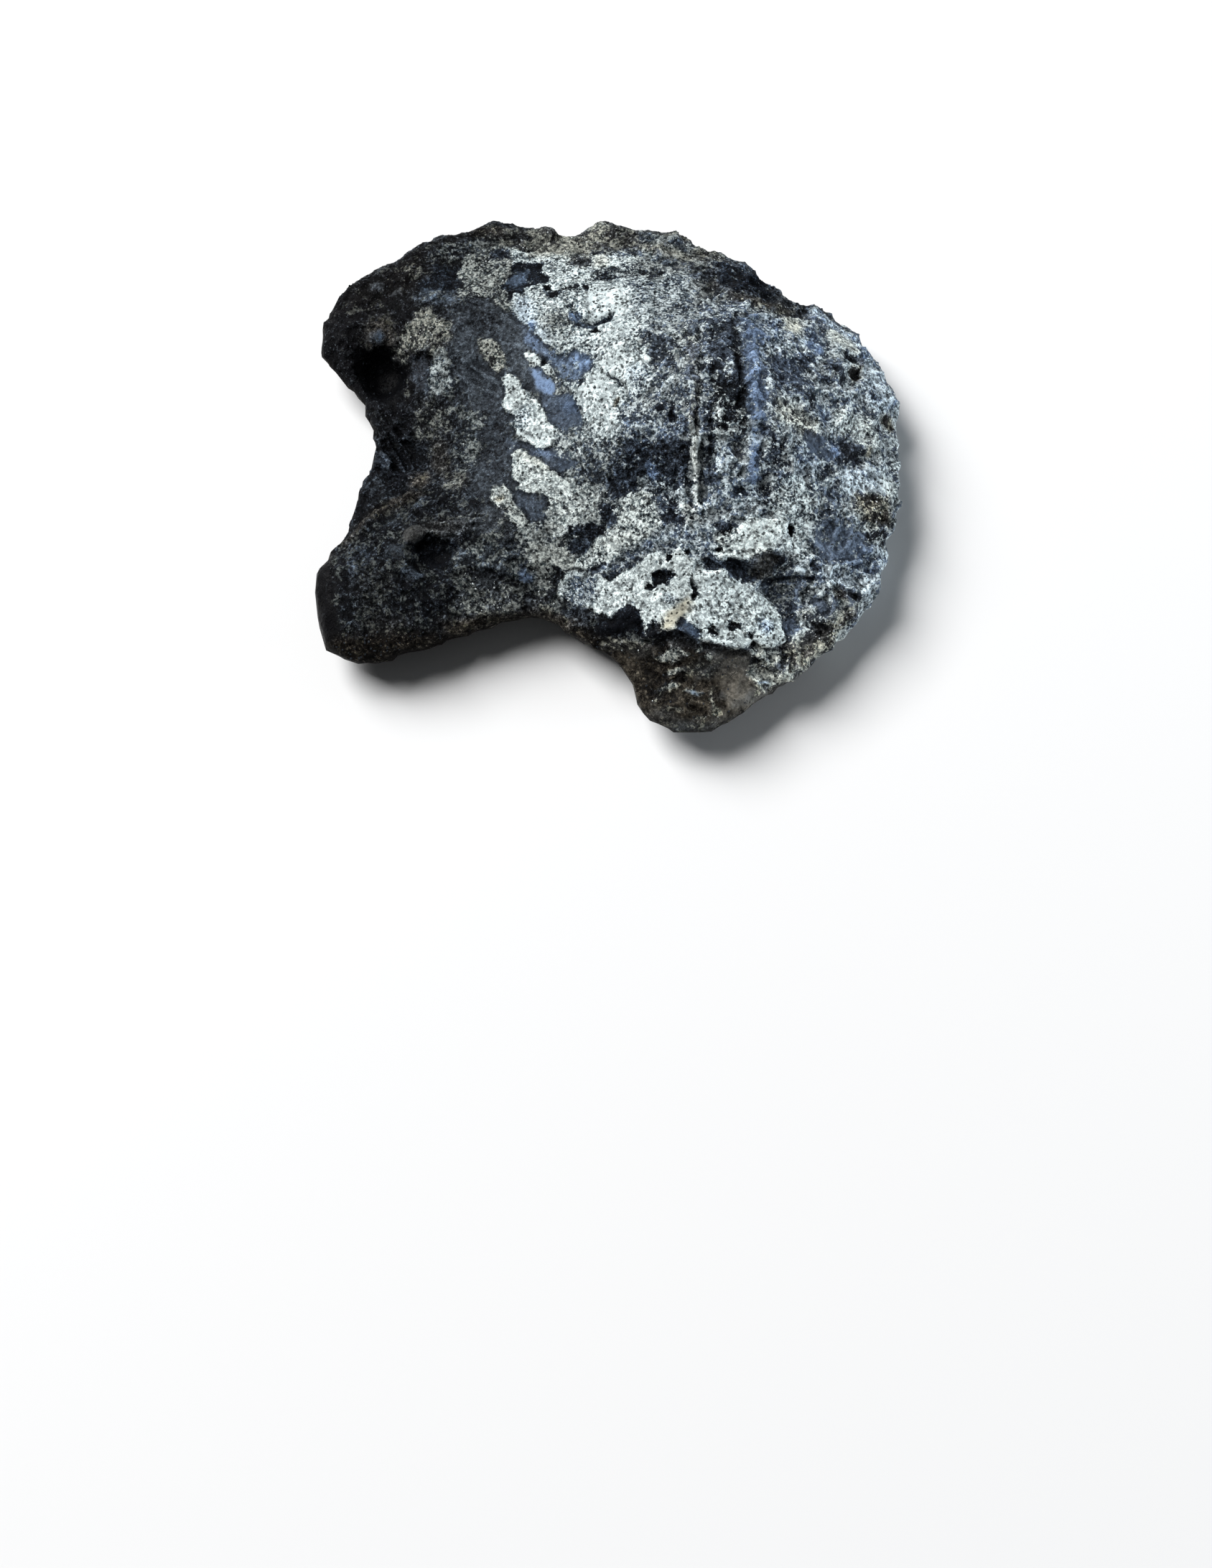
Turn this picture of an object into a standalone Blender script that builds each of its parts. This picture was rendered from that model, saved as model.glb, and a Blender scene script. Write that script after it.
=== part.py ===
"""A fossil footprint: the natural cast of a three-toed dinosaur's track, kept as one solid rock.

The rock lies on its flat broken back, track side up. Two toes point to -X, one to -Y, and the
heel lies toward +X. The plan outline is made as a slab, given an even skin, raised into the
rounded, undercut body, and roughened.
"""
import math

import bmesh
import bpy
import numpy as np
from mathutils import Vector, noise

for old in list(bpy.data.objects):
    bpy.data.objects.remove(old, do_unlink=True)

# Driving sizes, in metres: across the toes, toe tip to back edge, seat to the top of the heel.
WIDTH = 0.610
LENGTH = 0.572
HEIGHT = 0.152

# The body before its mounds, and its edge, in metres.
SLAB = 0.070
BODY = 0.050
RIM_HEIGHT = 0.052
EQUATOR = 0.034
UNDERCUT = 0.042
UNDERCUT_FADE = 0.055
ROLL_IN = 0.011
ROLL_FADE = 0.020
SHOULDER = 0.075
HOLLOW_MARGIN = 0.020

# How a ledge fades: past its ends, and on the low ground beside it, in metres.
LEDGE_END = 0.020
LEDGE_END_FADE = 0.030
LEDGE_WIDTH = 0.075
LEDGE_WIDTH_FADE = 0.060

# Grain of the skin, and the lumps on it as size and height, in metres.
FIRST_GRAIN = 0.012
FINAL_GRAIN = 0.0118
BROAD_LUMPS = (0.075, 0.0042)
SMALL_LUMPS = (0.032, 0.0018)
LUMP_FREE_HEIGHT = 0.020
SEAT_DEPTH = 0.004

MM = 0.001

# Plan outline of the rock at its widest, in millimetres, clockwise from the back edge.
OUTLINE = [
    (-146, 280), (-130, 289), (-106, 282), (-86, 278), (-74, 268), (-64, 272), (-50, 261),
    (-24, 278), (0, 287), (12, 276), (45, 270), (70, 267), (84, 260), (100, 246), (120, 246),
    (142, 233), (160, 217), (182, 194), (204, 184), (221, 179), (252, 151), (273, 126),
    (285, 98), (304, 70), (297, 48), (295, 8), (291, -24), (289, -70), (280, -90),
    (272, -126), (262, -150), (239, -173), (226, -188), (202, -213), (180, -233), (158, -243),
    (138, -257), (114, -273), (98, -286), (76, -288), (48, -284), (20, -265), (12, -238),
    (0, -215), (-22, -200), (-44, -187), (-62, -172), (-86, -174), (-122, -186), (-162, -200),
    (-200, -212), (-224, -215), (-262, -212), (-278, -202), (-286, -170), (-293, -140),
    (-292, -120), (-279, -92), (-263, -68), (-260, -44), (-249, -14), (-246, 14), (-252, 46),
    (-262, 68), (-290, 98), (-304, 128), (-305, 154), (-292, 180), (-286, 200), (-260, 217),
    (-224, 242), (-190, 262), (-160, 269),
]

# Mounds: centre x, centre y, reach x, reach y, turn in degrees, height, in millimetres.
MOUNDS = [
    (104, 22, 142, 150, 0, 84),
    (-20, 112, 160, 105, 0, 18),
    (-170, 142, 150, 54, 4, 16),
    (-150, -98, 150, 50, 27, 18),
    (84, -180, 70, 90, 0, 18),
    (-186, -97, 15, 12, 0, 6),
    (147, 40, 9, 85, -2, 6),
    (20, -176, 15, 12, 0, 5),
    (280, 66, 20, 16, 0, 8),
]

# Hollows: centre x, centre y, reach x, reach y, turn in degrees, depth, in millimetres.
HOLLOWS = [
    (-232, 98, 30, 34, 0, 30),
    (-212, 6, 55, 30, 0, 14),
    (-172, -114, 16, 14, 0, 20),
    (-50, -150, 40, 38, 0, 12),
    (42, -57, 44, 30, -5, 9),
    (132, 60, 10, 75, -2, 8),
    (92, 12, 7, 90, 0, 6),
    (232, -130, 26, 16, 30, 7),
]

# Ledges: x and y of each end, drop, reach of the slope, in millimetres. The ground falls to the
# right of the line walked from the first end to the second.
LEDGES = [
    (86, -136, 158, -126, 12, 10),
    (158, -126, 204, -144, 9, 10),
    (6, -188, 70, -214, 12, 10),
    (70, -214, 150, -204, 12, 10),
    (-146, -30, -212, -60, 10, 18),
    (-212, -60, -278, -124, 13, 20),
]


def make_slab(name, points, thick, home):
    """Make a slab with the plan outline, its underside at nought."""
    shape = bpy.data.curves.new(name, "CURVE")
    shape.dimensions = "2D"
    shape.fill_mode = "BOTH"
    shape.extrude = thick / 2.0
    shape.resolution_u = 4
    spline = shape.splines.new("BEZIER")
    spline.bezier_points.add(len(points) - 1)
    spline.use_cyclic_u = True
    for knot, (x, y) in zip(spline.bezier_points, points):
        knot.co = (x * MM, y * MM, 0.0)
        knot.handle_left_type = "AUTO"
        knot.handle_right_type = "AUTO"
    guide = bpy.data.objects.new(name + "_outline", shape)
    guide.location.z = thick / 2.0
    home.objects.link(guide)
    bpy.context.view_layer.update()
    grown = guide.evaluated_get(bpy.context.evaluated_depsgraph_get())
    mesh = bpy.data.meshes.new_from_object(grown)
    mesh.name = name
    mesh.transform(guide.matrix_world)
    bpy.data.objects.remove(guide, do_unlink=True)
    slab = bmesh.new()
    slab.from_mesh(mesh)
    bmesh.ops.remove_doubles(slab, verts=slab.verts, dist=0.00001)
    bmesh.ops.recalc_face_normals(slab, faces=slab.faces)
    slab.to_mesh(mesh)
    slab.free()
    rock = bpy.data.objects.new(name, mesh)
    home.objects.link(rock)
    return rock


def outline_edges(slab):
    """Return the starts and the ends of the edges round the slab's underside."""
    body = bmesh.new()
    body.from_mesh(slab.data)
    starts = []
    ends = []
    for side in body.edges:
        low = max(corner.co.z for corner in side.verts) < SLAB / 2.0
        on_wall = any(abs(face.normal.z) < 0.5 for face in side.link_faces)
        under = any(abs(face.normal.z) > 0.5 for face in side.link_faces)
        if low and on_wall and under:
            starts.append(tuple(side.verts[0].co.xy))
            ends.append(tuple(side.verts[1].co.xy))
    body.free()
    return np.array(starts), np.array(ends)


def nearest_on_outline(spots, starts, ends):
    """Return each spot's distance to the outline, the nearest outline point, and if it is inside."""
    best = np.full(len(spots), 1e9)
    nearest = np.zeros((len(spots), 2))
    inside = np.zeros(len(spots), bool)
    for first, last in zip(starts, ends):
        span = last - first
        along = np.clip(((spots - first) @ span) / (span @ span), 0.0, 1.0)
        point = first + along[:, None] * span
        gap = np.hypot(*(spots - point).T)
        closer = gap < best
        best[closer] = gap[closer]
        nearest[closer] = point[closer]
        if first[1] != last[1]:
            crosses = (first[1] > spots[:, 1]) != (last[1] > spots[:, 1])
            reach = first[0] + (spots[:, 1] - first[1]) / span[1] * span[0]
            inside ^= crosses & (spots[:, 0] < reach)
    return best, nearest, inside


def bump(x, y, row):
    """Return a smooth round bump of unit height, one at its centre and fading to none."""
    turn = math.radians(row[4])
    dx = x - row[0] * MM
    dy = y - row[1] * MM
    u = (dx * math.cos(turn) + dy * math.sin(turn)) / (row[2] * MM)
    v = (dy * math.cos(turn) - dx * math.sin(turn)) / (row[3] * MM)
    return np.exp(-(u * u + v * v))


def smooth_step(value):
    """Ease a value from nought to one."""
    value = np.clip(value, 0.0, 1.0)
    return value * value * (3.0 - 2.0 * value)


def ledge_drop(x, y, row):
    """Return how far the ground drops beside one ledge."""
    x0, y0, x1, y1, drop, reach = [part * MM for part in row]
    length = math.hypot(x1 - x0, y1 - y0)
    ux = (x1 - x0) / length
    uy = (y1 - y0) / length
    along = (x - x0) * ux + (y - y0) * uy
    right = (x - x0) * uy - (y - y0) * ux
    begun = smooth_step((along + LEDGE_END) / LEDGE_END_FADE)
    unended = smooth_step((length + LEDGE_END - along) / LEDGE_END_FADE)
    fall = smooth_step(right / reach) * smooth_step((LEDGE_WIDTH - right) / LEDGE_WIDTH_FADE)
    return drop * begun * unended * fall


def rock_height(x, y, depth):
    """Return the height of the track side above the seat, by place and depth from the edge."""
    body = np.full(len(x), BODY)
    for row in MOUNDS:
        body += row[5] * MM * bump(x, y, row)
    part = np.clip(depth / SHOULDER, 0.0, 1.0)
    roll = (1.0 - (1.0 - part) ** 2) ** 0.75
    height = RIM_HEIGHT + (body - RIM_HEIGHT) * roll
    for row in HOLLOWS:
        height -= row[5] * MM * bump(x, y, row) * smooth_step(depth / HOLLOW_MARGIN)
    for row in LEDGES:
        height -= ledge_drop(x, y, row)
    return height


def mesh_spots(mesh):
    """Return the mesh's corner positions as rows."""
    flat = np.empty(len(mesh.vertices) * 3)
    mesh.vertices.foreach_get("co", flat)
    return flat.reshape(-1, 3)


def set_spots(mesh, spots):
    """Write corner positions back to the mesh."""
    mesh.vertices.foreach_set("co", np.ascontiguousarray(spots).ravel())
    mesh.update()


def even_skin(rock, size):
    """Rebuild the rock's skin with faces of an even size."""
    remesh = rock.modifiers.new("even skin", "REMESH")
    remesh.mode = "VOXEL"
    remesh.voxel_size = size
    bpy.context.view_layer.objects.active = rock
    bpy.ops.object.modifier_apply(modifier=remesh.name)


def raise_body(rock, starts, ends):
    """Turn the slab into the broad shape of the rock, with a rounded, undercut edge."""
    spots = mesh_spots(rock.data)
    gap, nearest, inside = nearest_on_outline(spots[:, :2], starts, ends)
    depth = np.where(inside, gap, 0.0)
    level = np.clip(spots[:, 2] / SLAB, 0.0, 1.0)
    height = level * rock_height(spots[:, 0], spots[:, 1], depth)
    below = np.clip((EQUATOR - height) / EQUATOR, 0.0, 1.0)
    above = np.clip((height - EQUATOR) / (RIM_HEIGHT - EQUATOR), 0.0, 1.0)
    inset = UNDERCUT * below ** 1.4 * np.exp(-depth / UNDERCUT_FADE)
    inset += ROLL_IN * above ** 2 * np.exp(-depth / ROLL_FADE)
    inward = spots[:, :2] - nearest
    inward /= np.maximum(np.hypot(*inward.T), 1e-6)[:, None]
    inward[~inside] *= -1.0
    spots[:, :2] += inward * inset[:, None]
    spots[:, 2] = height
    set_spots(rock.data, spots)


def stone_noise(spots, size, seed):
    """Return rough stone noise, about -1 to 1, with lumps of the given size."""
    shift = Vector((seed * 3.7, seed * 1.3, seed * 2.1))
    found = [noise.fractal(Vector(spot) / size + shift, 0.8, 2.1, 3) for spot in spots]
    return np.array(found)


def roughen(rock):
    """Push the skin in and out by small lumps, leaving the seat flat."""
    spots = mesh_spots(rock.data)
    normals = np.array([tuple(corner.normal) for corner in rock.data.vertices])
    lumps = np.zeros(len(spots))
    for seed, (size, height) in enumerate((BROAD_LUMPS, SMALL_LUMPS), start=1):
        lumps += stone_noise(spots, size, seed) * height
    free = smooth_step(spots[:, 2] / LUMP_FREE_HEIGHT)
    spots += normals * (lumps * free)[:, None]
    set_spots(rock.data, spots)


def flatten_seat(rock):
    """Press the low corners to one plane and join the faces of the seat into one."""
    spots = mesh_spots(rock.data)
    spots[spots[:, 2] < SEAT_DEPTH, 2] = 0.0
    set_spots(rock.data, spots)
    body = bmesh.new()
    body.from_mesh(rock.data)
    seat = [face for face in body.faces if all(corner.co.z == 0.0 for corner in face.verts)]
    bmesh.ops.dissolve_faces(body, faces=seat, use_verts=True)
    bmesh.ops.triangulate(body, faces=body.faces, quad_method="SHORT_EDGE")
    bmesh.ops.recalc_face_normals(body, faces=body.faces)
    body.to_mesh(rock.data)
    body.free()


def fit_box(rock):
    """Scale the rock to the driving sizes and centre it over the origin, seat at nought."""
    spots = mesh_spots(rock.data)
    low = spots.min(axis=0)
    high = spots.max(axis=0)
    middle = (low + high) / 2.0
    middle[2] = low[2]
    wanted = np.array([WIDTH, LENGTH, HEIGHT])
    set_spots(rock.data, (spots - middle) * wanted / (high - low))


def stone_material():
    """Make the dark coaly stone."""
    stone = bpy.data.materials.new("coaly sandstone")
    stone.use_nodes = True
    shader = stone.node_tree.nodes["Principled BSDF"]
    shader.inputs["Base Color"].default_value = (0.09, 0.095, 0.105, 1.0)
    shader.inputs["Roughness"].default_value = 0.6
    return stone


footprint = bpy.data.collections.new("fossil dinosaur footprint")
bpy.context.scene.collection.children.link(footprint)

cast = make_slab("footprint_cast", OUTLINE, SLAB, footprint)
edge_starts, edge_ends = outline_edges(cast)
even_skin(cast, FIRST_GRAIN)
raise_body(cast, edge_starts, edge_ends)
even_skin(cast, FINAL_GRAIN)
roughen(cast)
flatten_seat(cast)
fit_box(cast)
cast.data.materials.append(stone_material())
cast.data.shade_smooth()
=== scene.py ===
"""Looks of a fossil dinosaur footprint: a three-toed stone cast with a pale crust over coal.

Laid out as an add-on: the settings hold the sizes and colours, each operator makes one piece
or the stage, and main() runs them in order. The lists of patches, strokes and knobs are in plan
millimetres, +X to the right and +Y away from the front toe.
"""

import math
import random
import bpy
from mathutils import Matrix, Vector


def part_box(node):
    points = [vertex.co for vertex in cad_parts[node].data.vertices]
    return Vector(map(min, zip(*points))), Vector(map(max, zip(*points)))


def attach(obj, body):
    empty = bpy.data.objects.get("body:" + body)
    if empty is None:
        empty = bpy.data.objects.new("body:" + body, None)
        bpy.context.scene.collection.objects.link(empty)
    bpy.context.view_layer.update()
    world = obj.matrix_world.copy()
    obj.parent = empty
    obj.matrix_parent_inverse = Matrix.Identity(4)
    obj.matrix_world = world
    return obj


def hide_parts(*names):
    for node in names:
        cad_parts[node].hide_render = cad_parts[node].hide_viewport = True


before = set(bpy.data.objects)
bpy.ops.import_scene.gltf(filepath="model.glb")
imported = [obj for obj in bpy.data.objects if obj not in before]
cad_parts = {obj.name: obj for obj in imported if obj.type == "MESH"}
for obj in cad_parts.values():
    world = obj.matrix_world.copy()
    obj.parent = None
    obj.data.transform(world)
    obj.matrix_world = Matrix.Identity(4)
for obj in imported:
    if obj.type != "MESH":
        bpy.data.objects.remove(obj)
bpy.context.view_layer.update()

from types import SimpleNamespace

import bmesh
import bpy
import numpy as np
from bpy.props import FloatProperty, FloatVectorProperty, IntProperty, PointerProperty
from mathutils import Matrix, Vector, noise

bl_info = {
    "name": "Fossil Footprint",
    "version": (1, 0, 0),
    "blender": (4, 5, 0),
    "location": "View3D > Sidebar > Fossil",
    "description": "Finishes the stone cast of a three-toed footprint and sets it on a pale floor",
    "category": "Add Mesh",
}

CAST = "footprint_cast"
STONE = "footprint_stone"
BODY = "root"
MM = 0.001

# What is painted on the stone, with the value that bare rock starts from.
CHANNELS = {
    "pale": 0.12,  # share covered by grains of crust
    "clean": 0.3,  # how bright those grains are, partly their own tone and partly painted light and shade
    "warm": 0.2,  # clay stain
    "cool": 0.1,  # bluish tint, painted sheen of cool light
    "light": 0.2,  # from black coal to grey slate, partly painted light and shade
    "smooth": 0.0,  # unbroken surface
    "step": 0.0,  # thickness of the crust, as a share of the full step
    "glass": 0.0,  # glassy gloss
}


# ---------------------------------------------------------------------------
# Where each kind of rock lies on the cast. Every patch is painted over the ones before it.
# edge is the width of its soft border in millimetres, and channel values are in percent.
# Values also hold painted light: left toes darker, the right end paler and bluer, as if lit from the right.

def shares(percents):
    """Channel values as shares of one."""
    return {name: percent / 100 for name, percent in percents.items()}


def fill(points, edge, **percents):
    """A patch inside an outline."""
    return {"points": points, "edge": edge, "values": shares(percents)}


def dab(centre, radii, turn, edge, **percents):
    """An oval patch, turned by some degrees."""
    return {"centre": centre, "radii": radii, "turn": turn, "edge": edge, "values": shares(percents)}


# Broad areas, which the rest is painted over.
GROUND = (
    dab((-268, 105), (95, 105), 0, 14, pale=4, clean=20, light=5, warm=35),
    fill([(-296, 165), (-255, 205), (-205, 240), (-150, 268), (-110, 268), (-150, 225), (-200, 214),
        (-204, 170), (-240, 166)], 8, pale=17, clean=28, light=6, warm=60),
    fill([(-163, 100), (-160, 158), (-107, 158), (-20, 110), (-10, 60), (-40, 0), (-60, -60),
        (-120, -100), (-150, -60), (-128, 0), (-150, 55)], 10, pale=5, light=52, cool=8, smooth=55),
    fill([(-245, 60), (-198, 60), (-190, 10), (-198, -35), (-245, -30)], 8, pale=6, light=12, cool=20),
    fill([(-300, -110), (-240, -55), (-200, -40), (-130, -50), (-90, -95), (-40, -130), (-40, -175),
        (-130, -200), (-230, -225), (-300, -200)], 12, pale=34, clean=23, light=10, warm=15, cool=10),
    fill([(-60, 104), (-20, 112), (30, 20), (62, -50), (62, -112), (-50, -124), (-104, -114),
        (-98, -92), (-64, -84), (-56, -56), (-50, -20), (-34, 6), (-52, 40), (-68, 80)], 6, pale=50,
        clean=62, light=42, warm=12),
    fill([(-128, 60), (-108, 44), (-98, 20), (-102, -4), (-98, -42), (-120, -46), (-130, -20),
        (-128, 20)], 5, pale=6, light=30, cool=12, smooth=55),
    fill([(-20, 262), (100, 250), (190, 180), (300, 90), (305, 0), (280, -130), (200, -240),
        (120, -215), (30, -120), (40, 60), (60, 150)], 12, pale=60, clean=100, light=75, cool=36),
    fill([(-150, 268), (100, 268), (130, 225), (90, 215), (40, 232), (-60, 236), (-110, 240)], 6,
        pale=56, clean=54, light=40, warm=50, cool=0),
    fill([(0, -198), (45, -205), (100, -212), (140, -212), (170, -232), (190, -250), (120, -300),
        (30, -300), (0, -230)], 6, pale=0, clean=50, light=30, warm=100, cool=0, glass=80, smooth=70),
)

# The upper side toe, its hollow and the neck below it.
UPPER_SIDE_TOE = (
    fill([(-198, 178), (-200, 214), (-186, 222), (-160, 216), (-156, 190), (-160, 178)], 3, pale=2,
        light=14, cool=25, warm=0, smooth=40),
    fill([(-200, 224), (-150, 222), (-120, 246), (-120, 258), (-150, 256), (-196, 240)], 5, pale=46,
        clean=40, light=20, warm=15),
    fill([(-217, 196), (-188, 200), (-186, 216), (-208, 222), (-228, 212)], 5, pale=34, clean=40,
        warm=55),
    fill([(-256, 118), (-258, 140), (-246, 154), (-228, 152), (-220, 128), (-232, 116)], 5, pale=20,
        clean=20, light=42, warm=85, smooth=20),
    dab((-241, 133), (7, 6), 0, 3, light=45, warm=0, cool=30, smooth=80),
    dab((-246, 193), (8, 7), 20, 3, light=30, warm=30, smooth=60, pale=12),
    dab((-225, 186), (4, 8), -20, 2, light=28, warm=50, smooth=70),
    # Painted shade over coal: the deep hollow under this toe is painted black.
    fill([(-262, 120), (-250, 118), (-240, 125), (-222, 122), (-213, 112), (-216, 96), (-211, 80),
        (-220, 60), (-246, 62), (-260, 84), (-266, 104)], 2.5, pale=0, light=0, warm=20, cool=0,
        smooth=80),
    dab((-205, 52), (22, 9), 10, 6, pale=12, light=10, warm=30),
    dab((-214, 168), (20, 11), -20, 5, pale=6, light=4, warm=30, smooth=30),
    fill([(-221, 134), (-212, 143), (-203, 149), (-196, 158), (-184, 158), (-176, 146), (-163, 139),
        (-161, 122), (-168, 112), (-170, 103), (-182, 101), (-190, 113), (-200, 111), (-210, 101),
        (-228, 111)], 4, pale=60, clean=60, light=30, warm=50, cool=0),
    fill([(-182, 101), (-171, 107), (-164, 98), (-161, 83), (-154, 74), (-158, 66), (-176, 60),
        (-190, 60), (-188, 77), (-186, 90)], 3, pale=70, clean=68, light=40, warm=10, cool=15),
    fill([(-203, 107), (-190, 106), (-186, 88), (-188, 68), (-199, 66), (-204, 84)], 2.5, pale=2,
        light=27, cool=30, smooth=80),
    dab((-207, 72), (4, 10), 0, 2.5, pale=50, clean=30, warm=50),
    dab((-166, 99), (2.2, 9), 30, 1.2, pale=100, warm=10, step=60),
    dab((-189, 112), (3.2, 3.2), 0, 1, pale=90, warm=20),
    dab((-253, 127), (1.4, 6), 5, 1, pale=100, warm=35),
    dab((-274, 163), (1.2, 2.6), 40, 0.8, pale=95),
    dab((-178, 172), (26, 9), -12, 5, pale=45, clean=42, light=50, cool=20, warm=10, smooth=30),
    fill([(-199, 20), (-200, 40), (-196, 60), (-180, 62), (-162, 46), (-160, 26), (-176, 18)], 4,
        pale=45, clean=48, light=30, warm=35, cool=0),
    fill([(-182, 18), (-164, 16), (-158, -6), (-162, -22), (-176, -20), (-182, 0)], 4, pale=30,
        clean=32, light=30, warm=60, cool=0),
    fill([(-202, -16), (-184, -15), (-180, -28), (-190, -37), (-203, -34)], 3, pale=10, light=40,
        warm=90),
    fill([(-168, -18), (-142, -16), (-138, -36), (-150, -44), (-168, -40)], 3, pale=55, clean=40,
        light=30, warm=50),
    dab((-157, -33), (7, 4), 0, 2, pale=85, clean=60, warm=35),
    fill([(-162, 48), (-150, 47), (-143, 41), (-130, 45), (-121, 36), (-123, 25), (-134, 18), (-128, 6),
        (-131, -8), (-138, -22), (-156, -20), (-162, 0), (-150, 20), (-142, 28)], 3, pale=50, clean=48,
        light=30, warm=12, cool=5, step=30),
    fill([(-142, 42), (-130, 44), (-122, 36), (-124, 25), (-134, 20), (-142, 28)], 2, pale=75,
        clean=50),
    dab((-231, -2), (6, 8), 25, 2.5, pale=15, light=50, cool=30, smooth=50),
    dab((-236, -32), (9, 14), 0, 4, pale=5, light=20, cool=10, smooth=60),
    dab((-233, -26), (2.2, 1.3), 30, 0.8, pale=100),
    dab((-250, -52), (11, 14), 0, 5, pale=0, light=3),
)

# Pale islands and slate facets across the middle of the face.
MIDDLE = (
    fill([(-106, 12), (-88, 4), (-74, -6), (-60, -10), (-44, -8), (-32, -16), (-32, -32), (-50, -36),
        (-62, -26), (-78, -12), (-100, -8)], 2.5, pale=6, clean=60, light=48, cool=35, smooth=70),
    fill([(-134, 102), (-134, 118), (-121, 119), (-109, 109), (-105, 96), (-106, 84), (-114, 77),
        (-121, 88)], 1.4, pale=65, clean=67, light=25, warm=42, cool=0, step=90),
    dab((-118, 94), (4, 5), 0, 2, pale=30, step=50),
    dab((-130, 140), (24, 18), -25, 7, light=28, cool=10, smooth=50),
    fill([(-89, 98), (-76, 97), (-66, 88), (-59, 83), (-51, 72), (-59, 68), (-68, 77), (-79, 84),
        (-84, 92)], 1.2, pale=92, clean=100, light=30, warm=10, step=100),
    dab((-64, 86), (3, 4), -30, 1, pale=10, light=10, step=20),
    fill([(-78, 81), (-71, 78), (-65, 71), (-54, 61), (-55, 50), (-61, 49), (-69, 57), (-77, 69)], 2,
        pale=6, light=190, cool=100, smooth=75, step=60),
    fill([(-66, 52), (-54, 48), (-35, 44), (-31, 35), (-26, 19), (-27, 7), (-41, 5), (-52, 12),
        (-63, 32), (-69, 44)], 1.6, pale=4, light=64, cool=40, smooth=75, step=0),
    dab((-36, 36), (9, 9), 30, 4, light=80, cool=75),
    fill([(-70, 102), (-58, 96), (-45, 89), (-36, 93), (-28, 91), (-20, 80), (-18, 68), (-30, 60),
        (-44, 62), (-50, 74)], 2, pale=20, light=95, cool=50, smooth=40, step=0),
    dab((-26, 80), (10, 12), 20, 4, pale=36, clean=90, light=120, cool=85),
    fill([(-110, 72), (-103, 80), (-94, 74), (-87, 63), (-81, 58), (-71, 44), (-66, 36), (-60, 20),
        (-50, 12), (-42, 6), (-42, -3), (-51, -3), (-60, -7), (-67, -10), (-77, -2), (-87, 6),
        (-95, 15), (-97, 31), (-105, 40), (-108, 47), (-105, 63)], 1.4, pale=88, clean=103, light=35,
        warm=6, cool=5, smooth=0, step=100),
    fill([(-98, 30), (-84, 44), (-74, 36), (-82, 16), (-95, 14)], 4, pale=66, cool=20),
    dab((-75, 52), (7, 8), 35, 2.5, pale=50, step=60),
    fill([(-50, 8), (-20, 14), (4, -6), (8, -24), (0, -34), (-20, -24), (-44, -20), (-56, -12)], 4,
        pale=56, clean=80, light=48, cool=15, step=40),
    dab((-62, -20), (15, 9), -20, 2, pale=4, light=42, cool=30, smooth=60, step=0),
    dab((-64, -14), (12, 4), -15, 2, pale=5, light=75, cool=70, smooth=70),
    fill([(-96, -8), (-86, -5), (-78, -14), (-67, -20), (-58, -31), (-44, -38), (-33, -44), (-28, -58),
        (-40, -64), (-60, -58), (-70, -53), (-84, -54), (-92, -49), (-88, -41), (-96, -36), (-97, -22)],
        1.3, pale=80, clean=96, light=30, warm=10, cool=0, smooth=0, step=100),
    dab((-72, -20), (22, 5), -35, 3, warm=35, pale=85),
    fill([(-117, -48), (-101, -43), (-94, -52), (-92, -61), (-83, -69), (-75, -79), (-80, -86),
        (-88, -92), (-92, -85), (-101, -78), (-110, -68), (-116, -60)], 1.4, pale=78, clean=95,
        light=30, warm=20, cool=0, smooth=0, step=90),
    dab((-108, -58), (4, 3), 0, 1.5, pale=30, warm=90),
    fill([(-88, -50), (-84, -56), (-62, -58), (-60, -80), (-76, -80), (-88, -66)], 2, pale=8, light=58,
        cool=30, smooth=60, step=0),
    fill([(-60, -58), (-34, -46), (-18, -52), (-8, -66), (-8, -84), (-30, -90), (-44, -92), (-60, -88)],
        3, pale=73, clean=96, light=30, warm=12, cool=0, step=40),
    fill([(-92, -88), (-76, -82), (-56, -84), (-44, -92), (-44, -104), (-92, -104)], 3, pale=72,
        clean=92, light=45, warm=20),
    dab((-2, -80), (6, 8), 10, 2, pale=6, light=16, cool=20),
    fill([(-40, -88), (-12, -87), (-4, -92), (-6, -100), (-24, -103), (-40, -100)], 1.6, pale=8,
        light=16, cool=30, step=0),
    dab((-33, -98), (5, 2.2), 0, 1, pale=85, warm=20),
    fill([(-40, -103), (-16, -104), (-16, -118), (-38, -119)], 2, pale=15, light=30, cool=30),
    fill([(-82, -104), (-74, -101), (-54, -102), (-42, -105), (-38, -115), (-32, -117), (-34, -127),
        (-58, -125), (-78, -121)], 2, pale=76, clean=85, light=30, warm=25, cool=0, step=50),
    dab((-82, -131), (10, 6), -20, 3, pale=12, light=80, cool=75, smooth=50),
    fill([(-71, -128), (-58, -134), (-46, -140), (-47, -154), (-52, -166), (-62, -172), (-72, -152)], 4,
        pale=34, clean=60, light=26, warm=30, step=0),
    dab((-66, -128), (13, 7), 0, 2.5, pale=66, clean=75, warm=30),
    dab((-70, -160), (11, 8), 0, 4, pale=26, light=30, warm=45),
    fill([(-102, -70), (-90, -94), (-92, -104), (-104, -104), (-150, -90), (-150, -70)], 4, pale=25,
        clean=50, light=38, warm=30),
)

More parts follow.
